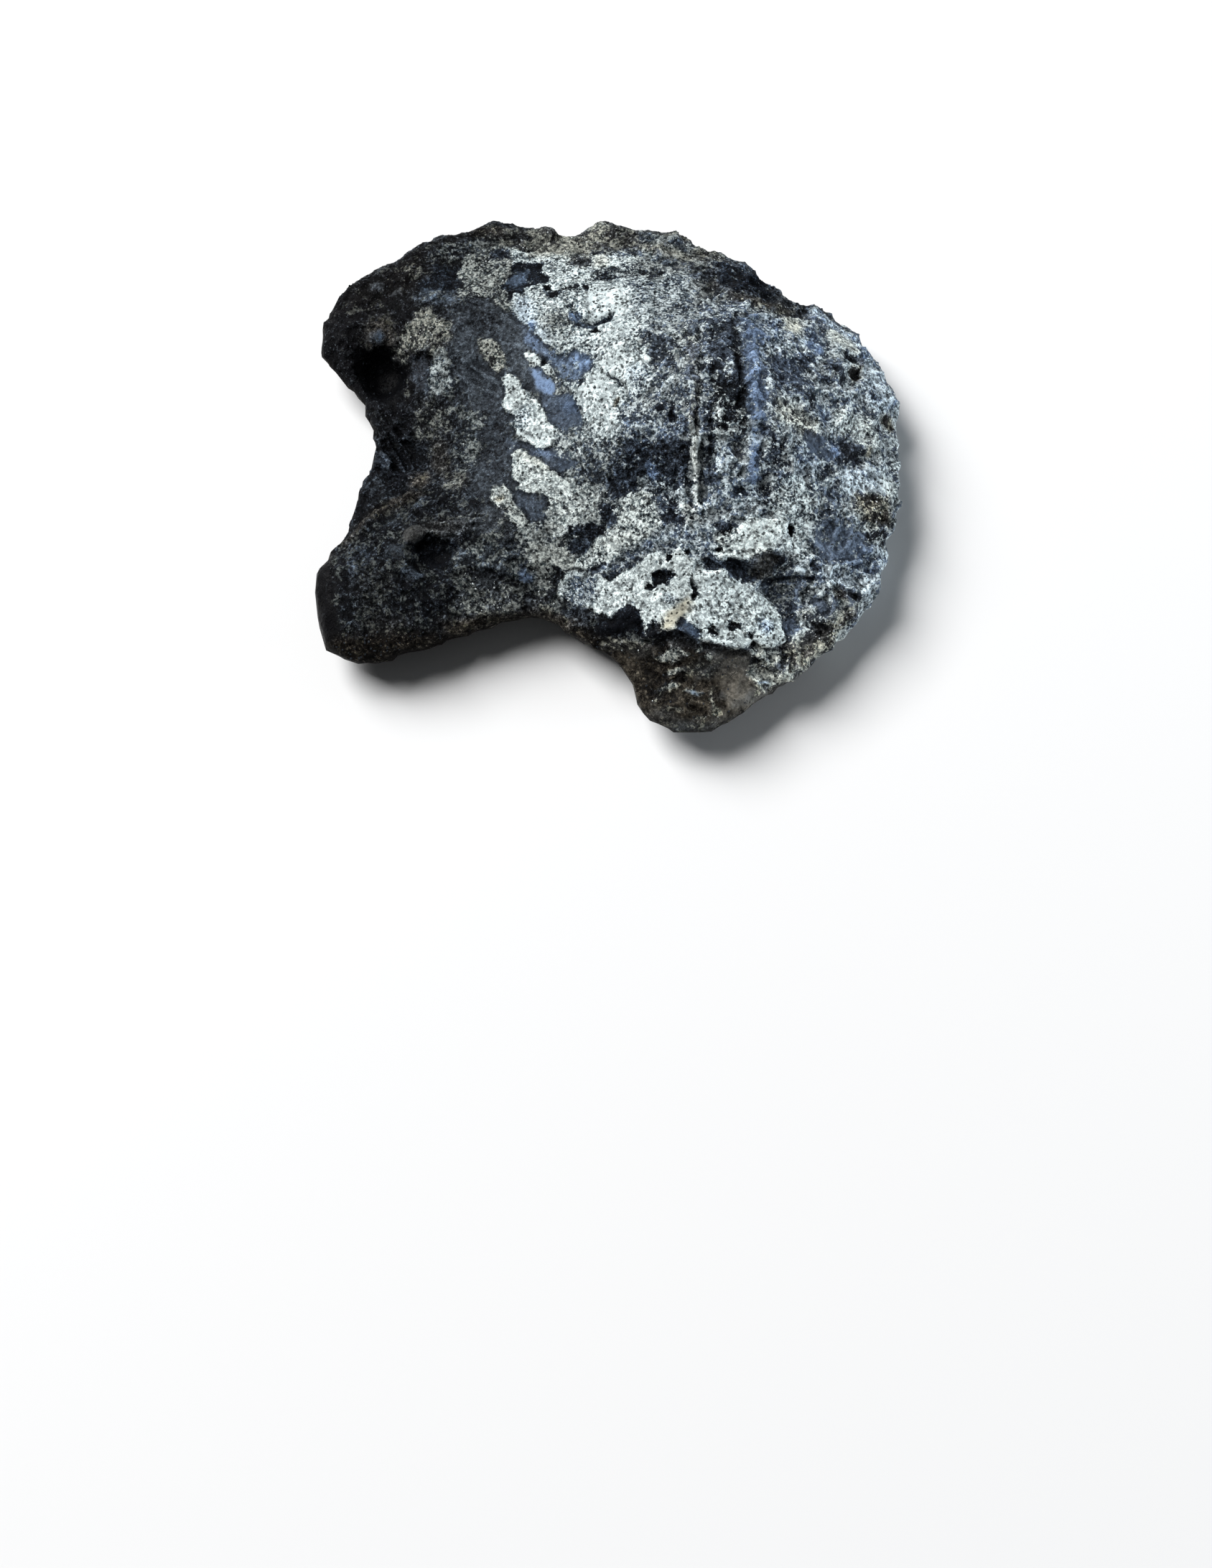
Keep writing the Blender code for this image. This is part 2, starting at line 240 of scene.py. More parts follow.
# The lower side toe, its hollow and its brown under-edge.
LOWER_SIDE_TOE = (
    fill([(-146, -128), (-120, -127), (-92, -140), (-82, -158), (-86, -172), (-130, -178),
        (-150, -165)], 5, pale=54, clean=54, light=32, warm=30, cool=5),
    dab((-150, -172), (12, 6), 0, 3, pale=50, clean=25, warm=35),
    dab((-202, -186), (8, 10), 0, 3, pale=50, clean=28, warm=30),
    dab((-243, -120), (15, 22), 10, 5, pale=42, clean=22, light=25, cool=25),
    dab((-210, -70), (15, 11), 0, 4, pale=45, clean=22, light=24),
    dab((-189, -53), (8, 9), 0, 3, pale=50, clean=28, light=40, cool=20),
    fill([(-200, -38), (-180, -42), (-200, -54), (-236, -70), (-262, -100), (-270, -96), (-240, -58)],
        3, pale=12, light=22, warm=85),
    dab((-191, -93), (10.5, 10.5), 0, 1.2, pale=3, light=46, warm=60, cool=0, smooth=90),
    # Painted shade over coal: the carved hollow of this toe is painted near black.
    fill([(-196, -100), (-182, -104), (-166, -101), (-150, -100), (-146, -110), (-158, -118),
        (-170, -127), (-182, -120)], 2.5, pale=2, light=4, cool=30, smooth=40),
    fill([(-218, -102), (-200, -103), (-198, -118), (-214, -118)], 2.5, pale=5, light=34, smooth=80),
    fill([(-202, -127), (-180, -130), (-180, -138), (-202, -134)], 2.5, pale=8, light=34, cool=20,
        smooth=70),
    fill([(-158, -110), (-100, -104), (-84, -122), (-90, -136), (-130, -124), (-150, -122)], 4, pale=26,
        clean=55, light=40, cool=5, smooth=20),
    dab((-170, -86), (30, 10), 0, 5, pale=14, light=32, warm=50, cool=0),
    dab((-207, -90), (2.4, 1.4), -20, 0.8, pale=100),
    dab((-212, -139), (3.4, 7), -20, 2, pale=75, warm=50),
    dab((-200, -158), (2.4, 1.4), -30, 0.8, pale=100, warm=10),
    dab((-230, -150), (20, 26), 0, 8, pale=40, clean=26, light=20, cool=0, warm=25),
    dab((-215, -182), (22, 9), 0, 5, pale=40, clean=26, light=20, warm=50),
    fill([(-300, -90), (-274, -104), (-266, -150), (-256, -200), (-300, -230)], 5, pale=0, light=0,
        warm=40, smooth=85),
    fill([(-290, -198), (-220, -190), (-150, -188), (-60, -172), (-30, -182), (0, -196), (10, -230),
        (-100, -196), (-200, -240), (-300, -240)], 5, pale=6, light=14, warm=100, cool=0),
    fill([(-165, -178), (-60, -164), (-30, -176), (-60, -188), (-150, -197)], 4, pale=30, clean=40,
        light=34, warm=100),
)

# The large sheet of crust above the middle, with its bright places and black holes.
UPPER_CRUST = (
    fill([(-157, 216), (-150, 232), (-120, 244), (-98, 240), (-92, 140), (-107, 150), (-119, 160),
        (-121, 168), (-138, 172), (-146, 167), (-158, 171), (-155, 190), (-160, 204)], 1.6, pale=56,
        clean=62, light=30, warm=22, cool=0, step=60),
    fill([(-104, 238), (-84, 236), (-60, 234), (-40, 229), (-16, 226), (20, 229), (50, 214), (84, 196),
        (92, 170), (84, 150), (86, 120), (60, 110), (45, 106), (38, 94), (29, 88), (40, 76), (42, 60),
        (46, 44), (36, 30), (20, 24), (14, 8), (4, -12), (-12, -8), (-24, 0), (-26, 18), (-24, 28),
        (-34, 38), (-36, 48), (-46, 56), (-44, 60), (-31, 58), (-24, 62), (-16, 66), (-16, 74),
        (-22, 84), (-29, 91), (-36, 94), (-43, 89), (-52, 92), (-60, 100), (-72, 111), (-80, 124),
        (-87, 132), (-98, 141), (-100, 163), (-97, 200)], 1.6, pale=68, clean=96, light=40, warm=5,
        cool=8, smooth=0, step=100),
    fill([(18, 206), (84, 200), (96, 170), (86, 130), (88, 104), (62, 104), (42, 100), (38, 126),
        (26, 150), (18, 180)], 6, pale=55, clean=78, cool=20, step=70),
    fill([(36, 226), (84, 214), (80, 196), (50, 186), (22, 204)], 6, pale=58, clean=64, cool=10,
        warm=15),
    dab((-8, 150), (15, 30), 5, 4, pale=98, warm=0, smooth=25),
    dab((10, 148), (12, 27), 0, 4, pale=95),
    dab((-10, 32), (20, 22), 20, 6, pale=86),
    dab((12, 66), (20, 22), 0, 6, pale=90),
    dab((6, 106), (16, 10), 0, 4, pale=88),
    dab((-16, 50), (15, 12), 20, 4, pale=94),
    dab((-72, 122), (9, 17), 35, 4, pale=88, cool=45),
    dab((4, 8), (12, 14), 0, 5, pale=84),
    dab((-86, 148), (9, 19), 10, 4, pale=84, cool=50),
    dab((-53, 131), (16, 13), 0, 5, pale=60, clean=70, warm=15, cool=0),
    dab((-78, 128), (5, 6), 0, 2, pale=40, light=90, cool=90),
    dab((-76, 108), (5, 14), 35, 2.5, pale=35, light=90, cool=80, step=70),
    fill([(-112, 181), (-106, 196), (-101, 214), (-98, 218), (-68, 216), (-72, 204), (-62, 192),
        (-64, 186), (-78, 184), (-87, 180), (-88, 173), (-99, 172), (-102, 160), (-104, 174)], 1.2,
        pale=3, light=12, cool=30, warm=0, step=0, smooth=50),
    fill([(-108, 190), (-98, 202), (-84, 206), (-84, 190), (-98, 182)], 2, light=50, cool=40,
        smooth=70),
    fill([(-126, 238), (-104, 240), (-104, 226), (-126, 224)], 2, pale=30, light=26, cool=40, step=10),
    fill([(-104, 250), (-84, 251), (-80, 258), (-106, 261)], 2, pale=14, light=14, warm=30),
    fill([(-150, 256), (-112, 255), (-112, 270), (-150, 270)], 3, pale=14, light=14, warm=70),
    fill([(-84, 230), (-18, 226), (-18, 254), (-82, 258)], 5, pale=78, clean=74, warm=50, light=40,
        cool=0),
    fill([(-20, 246), (2, 246), (2, 276), (-20, 276)], 3, pale=74, clean=68, warm=55, light=40),
    fill([(2, 250), (30, 254), (34, 272), (2, 272)], 3, pale=40, clean=55, light=30, warm=50, cool=0),
    fill([(34, 244), (70, 240), (96, 232), (92, 250), (50, 262), (34, 262)], 4, pale=50, clean=55,
        light=40, warm=15, cool=15),
    fill([(-41, 226), (-17, 224), (-17, 209), (-28, 206), (-41, 212)], 3, pale=42, clean=70, light=34,
        warm=35, step=50),
    fill([(-15, 228), (0, 226), (0, 206), (-15, 206)], 2, pale=78, warm=35),
    dab((14, 224), (12, 3), 4, 2, pale=32, light=34, cool=30),
    fill([(-19, 186), (-16, 203), (10, 204), (60, 200), (58, 186), (20, 190), (-6, 184)], 3, pale=36,
        clean=75, light=22, cool=15, step=20),
    dab((-64, 177), (4.5, 5.5), 0, 1.2, pale=0, light=5, step=0),
    dab((-56, 168), (6, 4.5), 15, 1.2, pale=0, light=5, step=0),
    dab((-41, 175), (12, 3), 14, 1.6, pale=30, light=14, step=20),
    dab((-23, 174), (3, 4), 0, 1, pale=10, light=20, step=20),
    dab((-68, 192), (6, 6), 0, 1.5, pale=10, light=10, step=10),
    fill([(-40, 124), (-34, 135), (-28, 129), (-15, 126), (0, 130), (4, 136), (4, 126), (-2, 122),
        (-18, 119), (-34, 120)], 1.4, pale=4, light=30, cool=20, step=0, smooth=50),
    dab((-34, 134), (5, 7), 0, 2, pale=20, light=80, cool=85, step=40),
    fill([(-20, 117), (-12, 118), (-4, 112), (-3, 109), (-9, 112), (-17, 109)], 0.9, pale=0, light=2,
        step=0),
    dab((-39, 149), (3.5, 3.5), 0, 1, pale=30, step=30),
    dab((42, 92), (17, 9), 30, 6, pale=44, clean=85, light=42, step=30),
    dab((36, 136), (14, 14), 0, 5, pale=70, cool=20),
    dab((-27, 57), (4, 4), 0, 1.5, pale=30, light=50, step=40),
    dab((10, 47), (15, 1.5), -50, 0.8, pale=20, light=30, step=60),
    dab((8, 27), (3.2, 4.8), -15, 1.2, pale=20, light=34, warm=90, step=40),
    dab((28, 52), (7, 9), 0, 4, pale=70, cool=50),
    dab((-74, 207), (2.5, 2), 0, 0.8, pale=0, light=5, step=20),
)

# Crust and coal above the long ledge.
LEDGE_TOP = (
    fill([(104, -114), (101, -107), (120, -100), (136, -92), (150, -90), (162, -88), (176, -92),
        (172, -104), (162, -116), (159, -120), (145, -122), (137, -129), (120, -128), (104, -127)], 1.8,
        pale=88, clean=130, light=35, warm=10, cool=0, step=90),
    fill([(62, -98), (100, -96), (104, -126), (84, -130), (76, -122), (60, -116)], 4, pale=60, warm=12,
        step=60),
    fill([(162, -52), (186, -48), (204, -58), (206, -90), (198, -120), (174, -124), (162, -112),
        (176, -96), (156, -84)], 4, pale=70, clean=110, light=35, cool=10, warm=10, step=70),
    dab((113, -117), (12, 9), 0, 5, pale=62, clean=90),
    dab((178, -98), (2.8, 5), 0, 0.9, pale=0, light=2, step=0),
    fill([(100, -56), (120, -54), (146, -60), (148, -78), (130, -82), (100, -80)], 3, pale=64, warm=10,
        step=50),
    dab((127, -69), (7, 6), 0, 2, pale=24, light=22, step=20),
    fill([(148, -62), (170, -60), (172, -78), (150, -84)], 3, pale=32, light=22, step=10),
    fill([(102, -93), (120, -92), (122, -104), (104, -110)], 3, pale=34, light=18, step=20),
    fill([(101, -24), (120, -26), (122, -44), (118, -56), (102, -56)], 3, pale=60, warm=15, step=40),
    dab((126, -33), (6, 8), 0, 2, pale=50, warm=50),
    fill([(100, 40), (138, 40), (140, -20), (100, -20)], 5, pale=30, light=14, cool=15, warm=15),
    dab((110, -14), (3, 3.6), 0, 1.2, pale=90, warm=20),
    fill([(141, -4), (178, -8), (180, -56), (150, -58), (141, -40)], 4, pale=54, light=44, cool=30),
)

# The dark hollow in the middle and the straight cream groove.
HOLLOW_AND_GROOVE = (
    fill([(20, -14), (83, -20), (86, -44), (80, -62), (50, -66), (20, -60), (4, -70), (2, -30)], 4,
        pale=12, light=24, cool=35, step=0),
    dab((42, -45), (3.4, 8), 0, 2, pale=20, light=80, cool=90),
    dab((32, -55), (3.2, 6), 35, 1.4, pale=80),
    dab((67, -69), (4, 4.5), 35, 1.6, pale=75, cool=40),
    fill([(56, -68), (70, -70), (70, -92), (54, -98), (52, -84)], 2.5, pale=10, light=14),
    fill([(62, -46), (80, -44), (80, -66), (66, -62)], 3, pale=38, light=30, warm=20),
    fill([(70, -76), (84, -78), (86, -94), (72, -98)], 2.5, pale=50, light=25, warm=45),
    fill([(14, 26), (36, 28), (52, 20), (80, 24), (82, -14), (60, -20), (24, -14), (8, -6)], 4, pale=50,
        clean=90, light=46, cool=25, step=20),
    fill([(16, 2), (60, 6), (80, 0), (82, -14), (60, -20), (24, -14)], 5, pale=38, light=50, cool=40),
    dab((36, 44), (11, 15), 0, 5, pale=64, clean=90, cool=20),
    dab((62, 4), (3, 8), 5, 1.6, pale=10, light=10),
    dab((50, 12), (6, 6), 0, 2.5, pale=15, light=10, cool=40),
    dab((73, -13), (4, 3), 0, 1.5, pale=70, cool=90),
    dab((53, -13), (4, 5), 0, 2, pale=40, light=70, cool=90),
    fill([(44, 94), (72, 96), (76, 70), (60, 62), (44, 70)], 6, pale=30, clean=85, light=40, cool=20),
    dab((68, 52), (8, 18), 0, 4, pale=52, clean=85, warm=30),
    dab((83, 66), (6, 26), 0, 3, pale=30, warm=50),
    dab((78, 96), (13, 13), 0, 5, pale=30, clean=80, light=34, cool=15),
    dab((104, 52), (15, 11), 0, 5, pale=20, light=24, cool=20),
    fill([(100, 118), (120, 118), (134, 124), (136, 70), (112, 60), (98, 72)], 4, pale=10, light=30,
        cool=30, smooth=20),
    dab((129, 62), (6, 40), 0, 3, pale=5, light=14, cool=20, smooth=50),
    dab((120, 32), (10, 12), 20, 4, pale=25, light=20),
    fill([(85, 40), (90, 38), (88, 0), (86, -14), (78, -16), (79, 0), (82, 20)], 1.6, pale=50, warm=60,
        light=40),
    fill([(79, -6), (86, -8), (88, -26), (90, -44), (86, -60), (82, -54), (80, -38)], 1.4, pale=85,
        clean=115, warm=50),
    dab((86, -63), (5, 18), 2, 1.4, pale=92, clean=135, warm=40),
    dab((98, -24), (5, 34), 0, 2.5, pale=16, light=20, warm=20),
)

# Dark and clay-stained rock along the upper right edge.
UPPER_EDGE = (
    fill([(146, 206), (196, 184), (214, 162), (204, 138), (160, 138), (138, 158)], 6, pale=20, clean=60,
        light=26, cool=10),
    fill([(66, 226), (122, 214), (136, 160), (100, 150), (90, 190)], 8, pale=36, clean=50, light=35,
        cool=15, warm=25),
    dab((111, 178), (9, 9), 0, 4, pale=20, light=30, warm=60),
    fill([(124, 166), (160, 164), (196, 156), (190, 144), (150, 144), (124, 152)], 4, pale=24, light=34,
        warm=65, cool=0),
    fill([(118, 214), (132, 218), (164, 202), (178, 176), (160, 162), (130, 164), (120, 180)], 4,
        pale=5, light=9, cool=30, warm=0),
)

# The lilac ridge and the mottled upper half of the heel.
RIDGE_AND_HEEL = (
    # Painted sheen: the ridge's right-facing facet is painted bright lilac.
    fill([(135, 126), (150, 124), (160, 108), (158, 78), (153, 50), (153, 20), (153, -4), (149, -20),
        (144, -58), (135, -58), (136, -16), (137, 24), (134, 64), (135, 96)], 2, pale=34, clean=80,
        light=98, cool=80, smooth=30),
    fill([(150, 128), (176, 128), (178, 104), (170, 84), (158, 88), (154, 110)], 5, pale=52, light=60,
        cool=70),
    fill([(176, 116), (180, 136), (198, 136), (202, 118), (194, 110)], 3, pale=86, warm=45, cool=0,
        step=50),
    dab((200, 80), (18, 8), -12, 4, pale=24, light=34, cool=40),
    dab((188, 72), (12, 10), 0, 4, pale=20, light=40, cool=40, smooth=20),
    dab((232, 74), (15, 8), -35, 3, pale=14, light=26, cool=25),
    dab((218, 58), (10, 6), -20, 3, pale=16, light=30, cool=30),
    dab((236, 91), (21, 2.6), -40, 1.5, pale=86, clean=110, cool=25),
    dab((213, 72), (16, 2.2), -35, 1.5, pale=82, cool=40),
    dab((226, 52), (14, 2), -30, 1.5, pale=82, cool=40),
    dab((209, 98), (11, 8), -12, 2.5, pale=60, light=100, cool=95, smooth=40),
    fill([(200, 120), (222, 120), (224, 106), (202, 106)], 3, pale=35, light=60, cool=70),
    fill([(226, 128), (234, 138), (248, 134), (264, 118), (258, 108), (240, 108), (232, 114)], 2.5,
        pale=82, warm=25, cool=0, step=70),
    dab((252, 101), (10, 5), -10, 2, pale=12, light=14, cool=20),
    dab((238, 95), (6, 4), 0, 2, pale=80, warm=30),
    dab((255, 78), (6, 10), 0, 2.5, pale=6, light=16, warm=75, cool=0),
    # Painted light: the right rim is painted pale and bright, with a bluish sheen.
    fill([(214, 170), (236, 160), (262, 138), (276, 110), (290, 80), (276, 64), (264, 70), (268, 100),
        (252, 126), (230, 142), (212, 152)], 4, pale=68, clean=110, light=110, cool=70),
    fill([(262, 72), (280, 66), (300, 70), (302, 40), (282, 36), (262, 44)], 4, pale=74, clean=115,
        light=110, cool=60),
    dab((276, 80), (9, 22), 25, 4, pale=86, clean=125, light=110, cool=45),
    dab((257, 83), (3, 12), -15, 1.5, pale=6, light=10, warm=70),
    dab((272, 55), (6, 6), 0, 2, pale=12, light=14),
    dab((291, 34), (9, 9), 0, 4, pale=30, light=20, warm=80, cool=0),
)

# Crust, facets and clay on the lower half of the heel.
HEEL = (
    fill([(160, 70), (200, 60), (204, 34), (170, 30), (150, 44), (150, 64)], 5, pale=22, light=45,
        cool=40, smooth=20),
    fill([(160, 24), (184, 22), (208, 10), (204, -8), (182, -6), (164, 0)], 4, pale=76, clean=115,
        light=40, warm=40, cool=0, step=40),
    dab((204, 30), (4, 10), 5, 2, pale=16, light=26),
    dab((214, 20), (9, 9), 0, 3, pale=30, light=70, cool=80),
    fill([(228, 28), (262, 30), (280, 14), (276, -6), (240, -2), (226, 8)], 5, pale=76, clean=115,
        light=45, cool=10, warm=20),
    fill([(194, -2), (218, -4), (220, -26), (196, -26)], 2.5, pale=6, light=62, cool=45, smooth=80),
    dab((225, -12), (6, 9), 0, 2.5, pale=30, light=100, cool=100),
    fill([(232, -4), (258, -8), (256, -26), (230, -26)], 4, pale=12, light=25, warm=35),
    dab((262, -7), (4, 6), 20, 2, pale=60, warm=90),
    dab((276, -41), (16, 14), 20, 4, pale=100, clean=140, light=90, cool=15),
    fill([(278, 20), (304, 20), (304, -20), (286, -20)], 4, pale=76, clean=110, light=50, warm=30),
    fill([(184, -18), (206, -22), (208, -46), (186, -46)], 4, pale=72, clean=110, light=90, cool=60),
    fill([(202, -56), (230, -58), (230, -92), (202, -92)], 5, pale=42, light=64, cool=30),
    fill([(230, -28), (270, -26), (278, -50), (262, -60), (232, -54)], 5, pale=82, clean=125, light=100,
        cool=50),
    fill([(246, -54), (284, -50), (284, -80), (258, -84), (244, -72)], 4, pale=40, light=30, warm=75,
        cool=0),
    fill([(204, -88), (242, -86), (256, -100), (244, -122), (208, -120), (198, -104)], 5, pale=22,
        clean=80, light=100, cool=40, smooth=50),
    fill([(254, -82), (280, -84), (276, -100), (256, -98)], 3, pale=55, warm=40, light=20),
    fill([(246, -104), (264, -106), (262, -134), (248, -132)], 3, pale=40, light=75, cool=70),
    dab((272, -112), (8, 8), 0, 3, pale=74, clean=115, cool=50),
    fill([(204, -132), (240, -126), (250, -140), (232, -148), (202, -142)], 3, pale=74, clean=120,
        light=80, cool=50),
    fill([(248, -130), (266, -132), (260, -164), (244, -172), (236, -168), (246, -150)], 3, pale=72,
        clean=120, light=80, cool=50),
    dab((202, -129), (6, 6), 0, 3, pale=15, light=34),
    fill([(178, -128), (190, -126), (197, -136), (180, -138)], 2, pale=80, warm=10),
    dab((168, -127), (7, 5), 10, 1.2, pale=3, light=5, smooth=30),
)

# Brown and slate rock between the heel and the front toe.
FRONT_CORNER = (
    fill([(137, -134), (143, -125), (149, -121), (158, -121), (166, -124), (162, -132), (160, -142),
        (142, -142)], 2, pale=12, clean=60, light=44, warm=60, cool=0, step=0, smooth=0),
    fill([(90, -130), (104, -130), (120, -129), (136, -132), (140, -142), (128, -148), (104, -139),
        (90, -136)], 2, pale=10, light=36, cool=30, step=0),
    fill([(140, -142), (172, -138), (200, -141), (196, -152), (176, -160), (158, -158), (144, -150)], 5,
        pale=40, clean=80, light=90, cool=30, step=0),
    dab((162, -172), (11, 17), 25, 7, pale=46, clean=80, cool=20),
    dab((157, -158), (8, 5), -40, 4, pale=62, clean=95),
    dab((175, -186), (6, 9), 10, 4, pale=56, clean=85),
    dab((242, -152), (8, 4), -20, 1.8, pale=5, light=20, warm=60),
    dab((226, -153), (7, 7), 30, 2.5, pale=35, light=30, warm=80),
    fill([(198, -143), (220, -144), (218, -158), (200, -158)], 3, pale=62, light=70, cool=30),
    fill([(168, -162), (181, -160), (182, -178), (170, -176)], 3, pale=22, light=28),
    fill([(184, -168), (203, -169), (202, -180), (184, -179)], 2, pale=55, light=50, warm=50),
    fill([(200, -160), (214, -159), (216, -170), (202, -173)], 2, pale=10, light=50, warm=25,
        smooth=70),
    fill([(196, -180), (214, -180), (212, -192), (198, -192)], 2.5, pale=2, light=6, warm=70),
    fill([(168, -178), (182, -179), (182, -206), (170, -204)], 2.5, pale=22, light=60, cool=50,
        smooth=50),
    dab((196, -196), (7, 6), 0, 2, pale=20, light=45, warm=30, smooth=50),
    fill([(164, -204), (180, -206), (180, -220), (166, -218)], 2.5, pale=16, light=18, warm=20),
    fill([(180, -206), (198, -208), (196, -220), (182, -220)], 2.5, pale=30, light=60, cool=50),
    fill([(204, -196), (232, -172), (246, -172), (230, -200), (206, -216), (198, -214)], 3, pale=50,
        light=35, warm=50),
    fill([(170, -202), (196, -190), (214, -176), (232, -164), (250, -158), (238, -190), (206, -222),
        (180, -230), (164, -214)], 7, warm=65, cool=0),
)

# The lower sheet of crust, with its cream stain, its holes and its broken edge.
LOWER_CRUST = (
    fill([(4, -75), (13, -70), (18, -62), (33, -58), (41, -64), (47, -75), (51, -86), (52, -95),
        (40, -102), (34, -112), (20, -121), (0, -126), (-20, -128), (-34, -124), (-22, -112),
        (-12, -103), (-4, -96)], 1.3, pale=63, clean=97, light=35, warm=10, cool=0, step=100),
    dab((8, -108), (16, 9), 15, 4, pale=84, warm=16),
    dab((1, -84), (6, 8), 20, 2, pale=14, light=25, cool=30),
    dab((-16, -120), (16, 8), 10, 3, pale=70, warm=10),
    fill([(-11, -129), (-5, -127), (6, -124), (11, -119), (20, -115), (44, -104), (60, -102),
        (60, -116), (40, -119), (27, -122), (25, -128), (18, -134), (6, -139), (-2, -136), (-11, -136)],
        2.5, pale=48, clean=90, light=60, cool=45, step=0),
    dab((37, -113), (5, 4), 0, 2, pale=30, light=85, cool=80),
    fill([(-50, -143), (-40, -128), (-20, -130), (0, -140), (10, -140), (26, -129), (34, -124),
        (40, -120), (50, -120), (57, -123), (69, -117), (77, -121), (83, -129), (89, -136), (99, -139),
        (112, -139), (121, -144), (132, -146), (143, -151), (152, -156), (160, -164), (168, -174),
        (170, -190), (172, -200), (158, -206), (149, -209), (142, -203), (134, -206), (124, -210),
        (113, -210), (103, -207), (91, -206), (80, -200), (67, -194), (52, -194), (46, -198),
        (40, -195), (33, -196), (31, -180), (22, -168), (12, -168), (4, -178), (-8, -173), (-18, -164),
        (-30, -160), (-44, -154)], 1.6, pale=84, clean=107, light=35, warm=6, cool=4, step=100,
        smooth=0),
    fill([(-38, -130), (-14, -132), (-12, -158), (-34, -162), (-44, -146)], 5, pale=60, clean=80,
        light=50, cool=30, step=70),
    dab((-40, -160), (8, 9), 0, 4, pale=46, warm=10),
    dab((130, -176), (22, 10), 0, 7, pale=72, warm=10),
    dab((152, -186), (7, 6), 0, 3, pale=50, cool=80, light=60),
    fill([(49, -191), (55, -179), (65, -169), (77, -163), (81, -169), (74, -181), (66, -191),
        (56, -196)], 3, pale=100, clean=85, warm=75, smooth=60),
    dab((62, -166), (7, 4), -25, 3, pale=60, cool=40, light=40),
    fill([(43, -140), (50, -138), (57, -138), (65, -143), (59, -146), (57, -151), (50, -149),
        (46, -153), (43, -149)], 1.1, pale=2, light=3, step=0, cool=30),
    dab((39, -152), (4, 3), 10, 0.9, pale=0, light=2, step=0),
    fill([(80, -146), (84, -149), (86, -158), (83, -166), (80, -165), (81, -157), (79, -151)], 1,
        pale=3, light=2, step=0),
    dab((51, -129), (2.6, 2.2), 0, 0.8, pale=0, light=2, step=10),
    dab((60, -125), (4, 2), 20, 0.8, pale=0, light=4, step=10),
    dab((75, -121), (4, 2.6), -20, 0.8, pale=0, light=4, step=10),
    fill([(72, -180), (80, -189), (86, -196), (88, -201), (80, -202), (73, -199), (66, -194),
        (68, -187)], 1.4, pale=4, light=40, cool=50, smooth=80, step=30),
    dab((120, -190), (7, 5), 10, 1.6, pale=20, light=12, step=20),
    dab((100, -194), (5, 4), 0, 1.2, pale=5, light=5, step=10),
    dab((136, -196), (5, 3.4), 0, 1.2, pale=10, light=5, step=10),
    dab((106, -122), (2.6, 2.6), 0, 0.8, pale=0, light=4),
    fill([(7, -178), (9, -172), (14, -167), (20, -166), (26, -169), (31, -172), (32, -184), (34, -196),
        (44, -200), (48, -206), (30, -202), (18, -196), (4, -196), (-11, -191), (-8, -182), (-2, -180)],
        1.2, pale=1, light=5, cool=35, step=30, smooth=35),
    fill([(-8, -196), (18, -195), (32, -200), (44, -210), (36, -218), (20, -206), (-6, -206)], 2.5,
        pale=50, clean=62, light=40, warm=60, cool=0),
    dab((30, -197), (11, 2.2), -28, 1.2, pale=75, warm=40),
    dab((43, -193), (8, 7), 10, 2, pale=6, light=10, step=20),
    fill([(34, -199), (48, -202), (60, -199), (76, -204), (90, -208), (110, -212), (134, -209),
        (140, -202), (144, -206), (138, -216), (124, -216), (104, -216), (86, -212), (76, -210),
        (64, -204), (48, -208)], 1.4, pale=8, light=26, warm=40, cool=0, step=0),
    dab((86, -213), (5, 2.6), 10, 1.2, pale=80, clean=80, warm=30),
    dab((112, -217), (8, 2.6), 6, 1.4, pale=75, clean=85, warm=35),
    dab((128, -219), (5, 2.4), -10, 1.2, pale=70, clean=80, warm=35),
)

